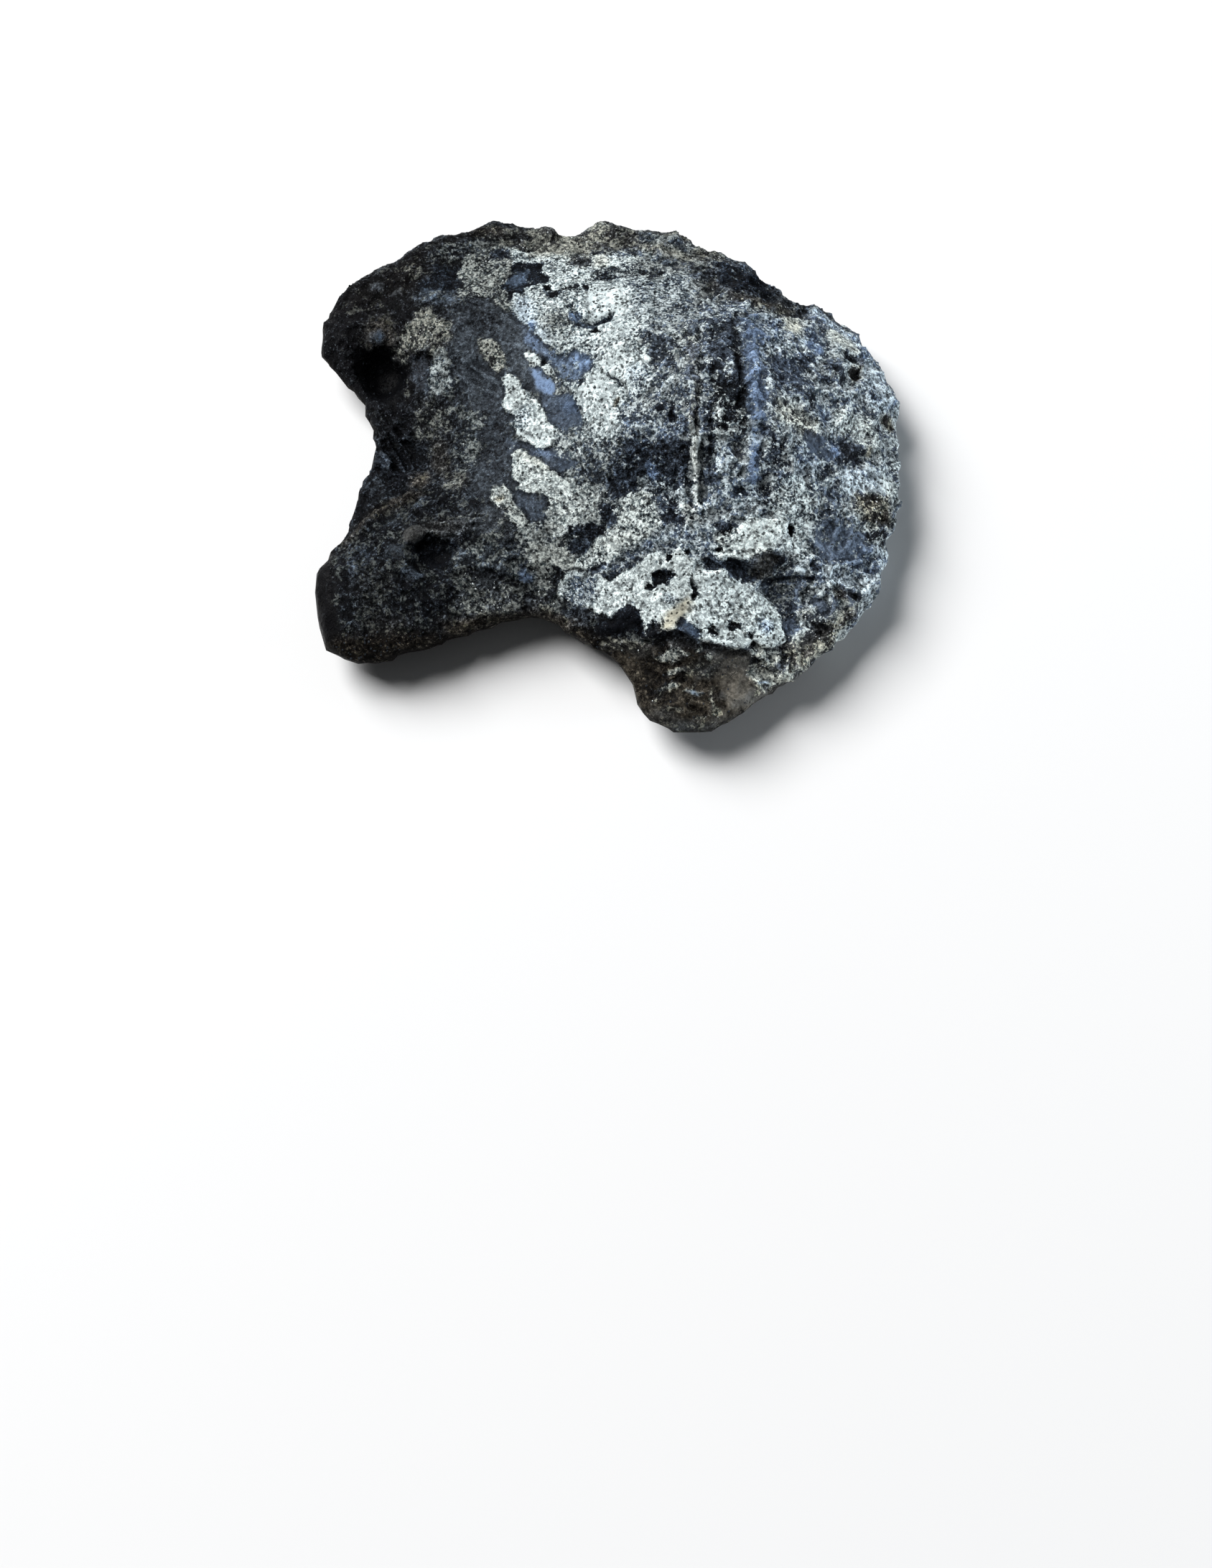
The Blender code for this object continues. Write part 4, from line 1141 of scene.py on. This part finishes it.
class FOSSIL_OT_stone(bpy.types.Operator):
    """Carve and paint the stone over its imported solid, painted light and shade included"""
    bl_idname = "fossil.stone"
    bl_label = "Stone"

    def execute(self, context):
        settings = settings_of("stone")
        low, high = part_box(CAST)
        stone = stone_blank(settings.voxel, settings.under_share)
        mesh = stone.data
        points, normals = read_skin(mesh)
        layers = paint(points, normals, settings.border)
        write_points(mesh, carve(points, normals, layers, settings.crust_step))
        roughen(stone, layers, settings)
        fit_to_box(mesh, low, high)
        points, normals = read_skin(mesh)
        edges = read_rows(mesh.edges, "vertices", 2, np.int64)
        layers["crevice"] = hollowness(points, normals, edges, CREVICE_ROUNDS)
        layers["basin"] = hollowness(points, normals, edges, BASIN_ROUNDS)
        for name, values in layers.items():
            write_attribute(mesh, name, values)
        thin(stone, settings.triangles)
        fit_to_box(stone.data, low, high)
        select_only(stone)
        bpy.ops.object.shade_smooth()
        stone.data.materials.append(stone_material(settings))
        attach(stone, BODY)
        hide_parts(CAST)
        return {"FINISHED"}


# ---------------------------------------------------------------------------
# Shader tools

class Field:
    """A number or colour that changes over the surface. What is done to it adds nodes to its tree."""

    def __init__(self, tree, socket):
        self.tree = tree
        self.socket = socket

    def calc(self, operation, first, second=0.0):
        return field(self.tree, "ShaderNodeMath", {0: first, 1: second}, operation=operation)

    def __add__(self, other):
        return self.calc("ADD", self, other)

    def __sub__(self, other):
        return self.calc("SUBTRACT", self, other)

    def __rsub__(self, other):
        return self.calc("SUBTRACT", other, self)

    def __mul__(self, other):
        return self.calc("MULTIPLY", self, other)

    def __pow__(self, other):
        return self.calc("POWER", self, other)

    def __abs__(self):
        return self.calc("ABSOLUTE", self)

    def most(self, other):
        """The larger of two numbers."""
        return self.calc("MAXIMUM", self, other)

    def swing(self, amount):
        """Noise as a swing either way of nothing."""
        return (self - 0.5) * amount

    def spread(self, low, high, to_low=0.0, to_high=1.0, soft=False):
        """Stretch a range of numbers onto another, clamped."""
        return field(self.tree, "ShaderNodeMapRange", {0: self, 1: low, 2: high, 3: to_low, 4: to_high},
                     interpolation_type="SMOOTHSTEP" if soft else "LINEAR", clamp=True)

    def between(self, first, second):
        """From one colour to another as this number goes from 0 to 1."""
        return mix(self.tree, self, first, second)

    def tinted(self, share, by):
        """Multiply a share of this colour by a tint."""
        return mix(self.tree, share, self, mix(self.tree, 1.0, self, by, "MULTIPLY"))

    def dimmed(self, by):
        """Multiply this colour by a number."""
        grey = field(self.tree, "ShaderNodeCombineColor", {0: by, 1: by, 2: by})
        return mix(self.tree, 1.0, self, grey, "MULTIPLY")


def plug(socket, value):
    """Link a socket to a field, or set it."""
    if isinstance(value, Field):
        value.tree.links.new(value.socket, socket)
    else:
        socket.default_value = value


def node(tree, kind, inputs, **values):
    """Add a node, set its options, and link or set its inputs by name or number."""
    made = tree.nodes.new(kind)
    for name, value in values.items():
        setattr(made, name, value)
    for name, value in inputs.items():
        plug(made.inputs[name], value)
    return made


def field(tree, kind, inputs, output=0, **values):
    """What one output of a new node gives."""
    return Field(tree, node(tree, kind, inputs, **values).outputs[output])


def fields_of(tree, sockets):
    return {socket.name: Field(tree, socket) for socket in sockets}


def mix(tree, share, first, second, kind="MIX"):
    """Mix or blend two colours."""
    first, second = (colour if isinstance(colour, Field) else (*colour, 1.0) for colour in (first, second))
    return field(tree, "ShaderNodeMix", {"Factor": share, 6: first, 7: second}, 2, data_type="RGBA",
                 blend_type=kind)


def grain(place, scale, detail, rough, twist=0.0):
    """Cloudy noise, as a number."""
    return field(place.tree, "ShaderNodeTexNoise", {
        "Vector": place, "Scale": scale, "Detail": detail, "Roughness": rough, "Distortion": twist}, "Fac")


def cells(place, scale):
    """Distance from the middle of each cell, and three tones that the whole cell shares."""
    made = node(place.tree, "ShaderNodeTexVoronoi", {"Vector": place, "Scale": scale})
    colour = Field(place.tree, made.outputs["Color"])
    tones = node(place.tree, "ShaderNodeSeparateColor", {0: colour}).outputs
    return Field(place.tree, made.outputs["Distance"]), [Field(place.tree, tone) for tone in tones]


def channel(tree, name):
    """A number that the mesh carries at its points."""
    return field(tree, "ShaderNodeAttribute", {}, "Fac", attribute_type="GEOMETRY", attribute_name=name)


def new_group(name, inputs, outputs):
    """Shader node group that takes a place and some numbers, and gives numbers."""
    group = bpy.data.node_groups.new(name, "ShaderNodeTree")
    group.interface.new_socket("Vector", in_out="INPUT", socket_type="NodeSocketVector")
    for label, default in inputs.items():
        socket = group.interface.new_socket(label, in_out="INPUT", socket_type="NodeSocketFloat")
        socket.default_value = default
    for label in outputs:
        group.interface.new_socket(label, in_out="OUTPUT", socket_type="NodeSocketFloat")
    given = fields_of(group, group.nodes.new("NodeGroupInput").outputs)
    return group, given, group.nodes.new("NodeGroupOutput").inputs


def speckle_group():
    """Grains of crust that cover a share of the surface, with crisp ragged edges."""
    group, given, wanted = new_group(
        "Speckle", {"Cover": 0.5, "Scale": 400.0, "Edge": 0.12, "Swing": 1.0}, ("Grains", "Tone"))
    place = given["Vector"]
    scale = given["Scale"]
    edge = given["Edge"]
    patchy = grain(place, scale * 0.30, 2.0, 0.55)
    cloudy = grain(place, scale * 0.11, 2.0, 0.5)
    cover = given["Cover"] + (patchy.swing(2.0) + cloudy.swing(1.4)) * given["Swing"]
    fine = grain(place, scale, 4.0, 0.7, 0.25)
    _, tones = cells(place, scale * 1.15)
    level = fine.spread(0.30, 0.70) * 0.62 + tones[0] * 0.38
    grains = (cover - level).spread(edge * -1.0, edge, soft=True)
    plug(wanted["Grains"], grains * given["Cover"].spread(0.0, 0.12))
    plug(wanted["Tone"], tones[1])
    return group


def wisp_group():
    """Short curved hairlines, such as the edges of shell-like breaks in coal."""
    group, given, wanted = new_group("Wisps", {"Scale": 70.0, "Width": 0.03}, ("Lines",))
    flow = grain(given["Vector"], given["Scale"], 2.0, 0.5, 1.2)
    line = abs(flow - 0.5).spread(0.0, given["Width"], 1.0, 0.0, soft=True)
    breaks = grain(given["Vector"], given["Scale"] * 1.7, 2.0, 0.6)
    plug(wanted["Lines"], line * breaks.spread(0.46, 0.60, soft=True))
    return group


def pit_group():
    """Small round pits scattered over the surface."""
    group, given, wanted = new_group("Pits", {"Scale": 250.0, "Radius": 0.3}, ("Pits",))
    place = given["Vector"]
    shake = field(group, "ShaderNodeTexNoise", {"Vector": place, "Scale": 500.0, "Detail": 1.0}, "Color")
    shake = field(group, "ShaderNodeVectorMath", {0: shake, 1: (0.5, 0.5, 0.5)}, operation="SUBTRACT")
    shake = field(group, "ShaderNodeVectorMath", {0: shake, "Scale": 0.003}, operation="SCALE")
    place = field(group, "ShaderNodeVectorMath", {0: place, 1: shake}, operation="ADD")
    distance, tones = cells(place, given["Scale"])
    shape = tones[0].spread(0.45, 1.0) * given["Radius"] - distance
    plug(wanted["Pits"], shape.spread(-0.02, 0.10, soft=True))
    return group


EFFECTS = {"Speckle": speckle_group, "Wisps": wisp_group, "Pits": pit_group}


def effect(name, place, **inputs):
    """Place a shared node group, built the first time it is asked for."""
    group = bpy.data.node_groups.get(name) or EFFECTS[name]()
    made = node(place.tree, "ShaderNodeGroup", {"Vector": place, **inputs}, node_tree=group)
    return fields_of(place.tree, made.outputs)


def new_material(name):
    """A material and the inputs of its shader."""
    material = bpy.data.materials.new(name)
    material.use_nodes = True
    shader = next(item for item in material.node_tree.nodes if item.type == "BSDF_PRINCIPLED")
    return material, shader.inputs


def object_place(material):
    """Where each point lies on its piece."""
    return field(material.node_tree, "ShaderNodeTexCoord", {}, "Object")


def dress(inputs, colour, height, strength, distance, specular):
    """Give a shader its colour, its bump and its even gloss."""
    plug(inputs["Base Color"], colour)
    plug(inputs["Normal"], field(colour.tree, "ShaderNodeBump", {
        "Strength": strength, "Distance": distance, "Height": height}))
    plug(inputs["Specular IOR Level"], specular)


# ---------------------------------------------------------------------------
# Materials

PLATE_CALM = 0.7  # how much less the grains of thick crust gather into clumps
PIT_COLOUR = (0.012, 0.013, 0.015)
EDGE_LIGHTENING = (1.7, 1.7, 1.7)  # tint that lightens the sharp outward edges of broken coal
SHADE = (0.10, 0.10, 0.11)  # painted shade: tint that darkens crevices and hollows
CRUST_ROUGHNESS = 0.94
COAL_ROUGHNESS = 0.44
STONE_SPECULAR = 0.03
STONE_BUMP = 2.6 * MM
GRIT_SPECULAR = 0.10
GRIT_BUMP = 0.6 * MM
GRIT_PIT_COLOUR = (0.02, 0.02, 0.022)


def stone_fields(place):
    """The channels, noises and shared effects that the stone is mixed from."""
    rock = SimpleNamespace(**{name: channel(place.tree, name) for name in (*CHANNELS, "crevice", "basin")})
    speckle = effect("Speckle", place, Cover=rock.pale, Scale=360.0, Edge=0.04,
                     Swing=1.0 - rock.step * PLATE_CALM)
    rock.grains = speckle["Grains"]
    rock.tone = speckle["Tone"]
    rock.pits = effect("Pits", place, Scale=260.0, Radius=0.30)["Pits"]
    wisps = effect("Wisps", place, Scale=65.0, Width=0.028)["Lines"]
    fine_wisps = effect("Wisps", place, Scale=150.0, Width=0.05)["Lines"]
    # Hairlines for the bump, and painted glints where the colour uses them.
    rock.streaks = wisps.most(fine_wisps * 0.7)
    rock.broad = grain(place, 28.0, 3.0, 0.55)
    rock.middle = grain(place, 120.0, 4.0, 0.65)
    rock.fine = grain(place, 380.0, 4.0, 0.72)
    rock.broken = 1.0 - rock.smooth
    return rock


def crust_colour(rock, settings):
    """Grains of painted light and shade at random, stained, each with its own tone, and pitted."""
    firm = rock.pale.spread(0.70, 1.0, 0.0, 0.8)
    # Painted light and shade: each grain takes the lit or the shaded copy of the crust colour.
    lit_share = (rock.fine * 0.65 + rock.middle * 0.35).spread(0.44, 0.54).most(firm)
    crust = lit_share.between(settings.crust_shaded, settings.crust_lit)
    # Painted sheen: the cool channel tints the crust bluish; tan is a real clay stain.
    crust = crust.tinted(rock.warm, settings.tan).tinted(rock.cool, settings.ice_sheen)
    # Grain brightness, partly the crust's own and partly painted light and shade.
    crust = crust.dimmed(rock.clean ** 1.5 * (rock.middle.swing(0.8) + 1.0))
    loose_tone = rock.tone.spread(0.0, 0.42, 0.14, 1.12)
    firm_tone = rock.tone.spread(0.04, 0.30, 0.06, 1.04)
    crust = crust.dimmed(loose_tone * (1.0 - firm) + firm * firm_tone)
    return (rock.pits * 0.92).between(crust, PIT_COLOUR)


def coal_colour(rock, settings):
    """Coal to slate with painted glints on hairlines and broken-rock flecks, painted sheen, stains, lighter
    edges.
    """
    tone = rock.light + rock.middle.swing(0.9) + rock.fine.swing(0.9)
    # Painted glints: hairlines lightened as if catching the light.
    tone = tone + rock.streaks * rock.light.spread(0.0, 0.5, 0.15, 0.8)
    # Flecks in broken rock: random darker grains and painted glints.
    flecks_and_glints = rock.fine.spread(0.44, 0.58, 0.45, 1.5) * rock.tone.spread(0.50, 1.0, 0.66, 2.7)
    tone = tone.spread(0.14, 1.30) * ((flecks_and_glints - 1.0) * rock.broken + 1.0)
    coal = tone.between(settings.coal, settings.slate)
    # Painted sheen: the cool channel brightens coal to lilac; brown is a real clay stain.
    coal = coal.tinted(rock.cool, settings.lilac_sheen).tinted(rock.warm, settings.brown)
    # Sharp outward edges of broken coal are lightened.
    return coal.tinted(rock.crevice.spread(-0.30, -0.04, 1.0, 0.0) * rock.broken, EDGE_LIGHTENING)


def stone_colour(rock, settings):
    """Crust over coal with painted shade in crevices and hollows, and broad lighter and darker swells."""
    colour = rock.grains.between(coal_colour(rock, settings), crust_colour(rock, settings))
    # Painted shade: crevices and broad hollows are darkened in the colour.
    crevice_shade = rock.crevice.spread(0.03, 0.34) * 0.65
    basin_shade = rock.basin.spread(0.25, 2.2) * 0.5
    return colour.tinted(crevice_shade.most(basin_shade), SHADE).dimmed(rock.broad.spread(0.35, 0.65, 0.80, 1.12))


def stone_roughness(rock):
    """Dull crust over coal that smooth and glassy rock makes glossier."""
    coal = COAL_ROUGHNESS - rock.smooth * 0.14 - rock.glass * 0.2 + rock.middle.swing(0.3)
    return coal + rock.grains * (CRUST_ROUGHNESS - coal)


def stone_relief(rock):
    """Height of the grains, pits, lumps and hairlines, as a share of the bump."""
    bare = 1.0 - rock.grains
    still = 1.0 - rock.smooth * 0.75
    height = rock.grains * 0.45 - rock.pits * 0.5
    return height + rock.middle * bare * still + rock.fine * 0.55 * still + rock.streaks * bare * 0.35


def stone_material(settings):
    """Pale crust over coal, following the channels painted on the stone."""
    material, inputs = new_material("crust over coal")
    rock = stone_fields(object_place(material))
    plug(inputs["Roughness"], stone_roughness(rock))
    dress(inputs, stone_colour(rock, settings), stone_relief(rock), 1.0, STONE_BUMP, STONE_SPECULAR)
    return material


def grit_material(name, light_colour, dull_colour, roughness):
    """A plain grain or chip with its own dusting."""
    material, inputs = new_material(name)
    place = object_place(material)
    fine = grain(place, 520.0, 3.0, 0.65)
    pits = effect("Pits", place, Scale=420.0, Radius=0.3)["Pits"]
    colour = (pits * 0.7).between(fine.spread(0.38, 0.6).between(dull_colour, light_colour), GRIT_PIT_COLOUR)
    plug(inputs["Roughness"], roughness)
    dress(inputs, colour, fine, 0.6, GRIT_BUMP, GRIT_SPECULAR)
    return material


# ---------------------------------------------------------------------------
# Grit that clings to the stone

GRIT_SHAPES = 6
GRIT_MARGIN = 3.0 * MM  # grit keeps this far inside the solid's box
GRIT_HEIGHT = 0.02  # and this far above the floor
GRIT_TURN = 0.35  # least upward part of the normal that holds grit
GRIT_FADE = 0.3
LEAST_CHANCE = 1e-9
SIZE_DRAW = (0.45, 1.0)
SIZE_POWER = 1.5
SIZE_SEED = 11
POINT_DRAW = (0.72, 1.15)
LONG_DRAW = (0.7, 1.3)
SHORT_DRAW = (0.6, 1.0)


def small_rock(seed, flatness):
    """One angular grain a unit wide, as points and triangles."""
    shape = bmesh.new()
    bmesh.ops.create_icosphere(shape, subdivisions=1, radius=0.5)
    draw = random.Random(seed)
    for point in shape.verts:
        point.co *= draw.uniform(*POINT_DRAW)
        point.co.z *= flatness
    points = np.array([tuple(point.co) for point in shape.verts])
    faces = np.array([[point.index for point in face.verts] for face in shape.faces])
    shape.free()
    return points, faces


def scatter(name, spots, directions, sizes, shapes, seed):
    """Many small rocks in one mesh, each turned its own way and half sunk."""
    draw = random.Random(seed)
    all_points = []
    all_faces = []
    start = 0
    for spot, direction, size in zip(spots, directions, sizes):
        points, faces = shapes[draw.randrange(len(shapes))]
        lean = Vector(direction).to_track_quat("Z", "Y").to_matrix()
        spin = Matrix.Rotation(draw.uniform(0.0, math.tau), 3, "Z")
        stretch = Matrix.Diagonal((draw.uniform(*LONG_DRAW), draw.uniform(*SHORT_DRAW),
                                   draw.uniform(*SHORT_DRAW)))
        turn = np.array(lean @ spin @ stretch)
        all_points.append(points @ turn.T * size + spot)
        all_faces.append(faces + start)
        start += len(points)
    mesh = bpy.data.meshes.new(name)
    mesh.from_pydata(np.concatenate(all_points).tolist(), [], np.concatenate(all_faces).tolist())
    mesh.update()
    piece = bpy.data.objects.new(name, mesh)
    bpy.context.scene.collection.objects.link(piece)
    return piece


def pick_spots(chance, count, seed):
    """Points of the skin drawn by chance, without repeats."""
    chance = chance + LEAST_CHANCE
    draw = np.random.default_rng(seed)
    return draw.choice(len(chance), size=count, replace=False, p=chance / chance.sum())


def hump(values, middle, half_width):
    """1 at a value, falling to 0 on both sides of it."""
    return np.clip(1.0 - np.abs(values - middle) / half_width, 0.0, 1.0)


def grit_chances(mesh, points, normals):
    """How likely each point is to hold a pale grain, and a chip of coal."""
    pale, clean, step, smooth = (read_attribute(mesh, name) for name in ("pale", "clean", "step", "smooth"))
    low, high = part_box(CAST)
    up = smooth_step((normals[:, 2] - GRIT_TURN) / GRIT_FADE) * (points[:, 2] > GRIT_HEIGHT)
    inner = np.all((points > np.array(low) + GRIT_MARGIN) & (points < np.array(high) - GRIT_MARGIN), axis=1)
    mottled = hump(pale, 0.55, 0.4) * (1.0 - smooth) * up * inner * smooth_step((clean - 0.35) / 0.4)
    bare = hump(pale, 0.15, 0.25) * (1.0 - smooth) * (1.0 - step) * up * inner
    return mottled, bare


class FOSSIL_OT_grit(bpy.types.Operator):
    """Scatter pale grains and coal chips where the rock crumbles"""
    bl_idname = "fossil.grit"
    bl_label = "Grit"

    def execute(self, context):
        settings = settings_of("grit")
        mesh = bpy.data.objects[STONE].data
        points, normals = read_skin(mesh)
        mottled, bare = grit_chances(mesh, points, normals)
        draw = np.random.default_rng(SIZE_SEED)
        kinds = (
            ("pale_grains", mottled, settings.grains, settings.grain_size, 0.75, 21,
             grit_material("pale grains", (0.74, 0.79, 0.80), (0.22, 0.25, 0.26), 0.92)),
            ("coal_chips", bare, settings.chips, settings.chip_size, 0.5, 22,
             grit_material("coal chips", (0.035, 0.042, 0.052), (0.004, 0.005, 0.006), 0.45)),
        )
        for name, chance, count, size, flatness, seed, material in kinds:
            picked = pick_spots(chance, count, seed)
            sizes = size * draw.uniform(*SIZE_DRAW, count) ** SIZE_POWER
            shapes = [small_rock(seed * 10 + turn, flatness) for turn in range(GRIT_SHAPES)]
            piece = scatter(name, points[picked], normals[picked], sizes, shapes, seed)
            piece.data.materials.append(material)
            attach(piece, BODY)
        return {"FINISHED"}


# ---------------------------------------------------------------------------
# Stage

CAMERA_AIM = (-0.0029, -0.0231, 0.05)
CAMERA_LENS = 35.0
CAMERA_SHIFT = (0.0005, -0.197)
FAR_CLIP = 20.0
FLOOR_ROUGHNESS = 0.9
SKY_COLOUR = (0.95, 0.975, 1.0, 1.0)
KEY_PLACE = (-7.15, 6.02, 8.80)
KEY_AIM = (0.0, 0.0, 0.0)
KEY_SIZE = 7.7
KEY_COLOUR = (1.0, 1.0, 1.0)
FILL_PLACE = (3.85, -0.50, 0.38)
FILL_AIM = (0.0, 0.0, 0.05)
FILL_SIZE = 0.6
FILL_COLOUR = (0.86, 0.93, 1.0)


def aimed_light(name, place, aim, size, power, colour):
    """A soft square light turned towards a point."""
    lamp = bpy.data.lights.new(name, "AREA")
    lamp.size = size
    lamp.energy = power
    lamp.color = colour
    holder = bpy.data.objects.new(name, lamp)
    holder.location = place
    holder.rotation_euler = (Vector(aim) - Vector(place)).to_track_quat("-Z", "Y").to_euler()
    bpy.context.scene.collection.objects.link(holder)


def pale_floor(size, colour):
    """A plain floor under the stone."""
    bpy.ops.object.select_all(action="DESELECT")
    bpy.ops.mesh.primitive_plane_add(size=size, location=(0.0, 0.0, 0.0))
    floor = bpy.context.active_object
    floor.name = "floor"
    material, inputs = new_material("pale floor")
    plug(inputs["Base Color"], (*colour, 1.0))
    plug(inputs["Roughness"], FLOOR_ROUGHNESS)
    floor.data.materials.append(material)


def even_sky(strength):
    """Soft light from all round."""
    world = bpy.data.worlds.new("even sky")
    world.use_nodes = True
    inputs = world.node_tree.nodes["Background"].inputs
    plug(inputs["Color"], SKY_COLOUR)
    plug(inputs["Strength"], strength)
    bpy.context.scene.world = world


def aimed_camera(distance, elevation):
    """A camera that looks down on the stone from the front."""
    scene = bpy.context.scene
    lens = bpy.data.cameras.new("camera")
    lens.lens = CAMERA_LENS
    lens.shift_x, lens.shift_y = CAMERA_SHIFT
    lens.clip_end = FAR_CLIP
    camera = bpy.data.objects.new("camera", lens)
    away = Vector((0.0, -math.cos(elevation), math.sin(elevation)))
    camera.location = Vector(CAMERA_AIM) + away * distance
    camera.rotation_euler = (math.pi / 2 - elevation, 0.0, 0.0)
    scene.collection.objects.link(camera)
    scene.camera = camera


class FOSSIL_OT_stage(bpy.types.Operator):
    """Set the floor, the lights, the sky and the camera"""
    bl_idname = "fossil.stage"
    bl_label = "Stage"

    def execute(self, context):
        settings = settings_of("stage")
        pale_floor(settings.floor_size, settings.floor_colour)
        aimed_light("key light", KEY_PLACE, KEY_AIM, KEY_SIZE, settings.key_power, KEY_COLOUR)
        aimed_light("fill light", FILL_PLACE, FILL_AIM, FILL_SIZE, settings.fill_power, FILL_COLOUR)
        even_sky(settings.sky)
        aimed_camera(settings.camera_distance, settings.camera_height)
        context.scene.view_settings.view_transform = "Standard"
        return {"FINISHED"}


# ---------------------------------------------------------------------------
# Panel and registration

SETTINGS = {"stone": FOSSIL_PG_stone, "grit": FOSSIL_PG_grit, "stage": FOSSIL_PG_stage}


class FOSSIL_PT_panel(bpy.types.Panel):
    """Settings and steps of the fossil footprint"""
    bl_idname = "FOSSIL_PT_panel"
    bl_label = "Fossil Footprint"
    bl_space_type = "VIEW_3D"
    bl_region_type = "UI"
    bl_category = "Fossil"

    def draw(self, context):
        for kind, group in SETTINGS.items():
            box = self.layout.box()
            for name in group.__annotations__:
                box.prop(settings_of(kind), name)
            box.operator(f"fossil.{kind}")


CLASSES = (*SETTINGS.values(), FOSSIL_OT_stone, FOSSIL_OT_grit, FOSSIL_OT_stage, FOSSIL_PT_panel)


def register():
    for item in CLASSES:
        bpy.utils.register_class(item)
    for kind, group in SETTINGS.items():
        setattr(bpy.types.Scene, f"fossil_{kind}", PointerProperty(type=group))


def unregister():
    for kind in SETTINGS:
        delattr(bpy.types.Scene, f"fossil_{kind}")
    for item in reversed(CLASSES):
        bpy.utils.unregister_class(item)


def main():
    register()
    bpy.ops.fossil.stage()
    bpy.ops.fossil.stone()
    bpy.ops.fossil.grit()


if __name__ == "__main__":
    main()
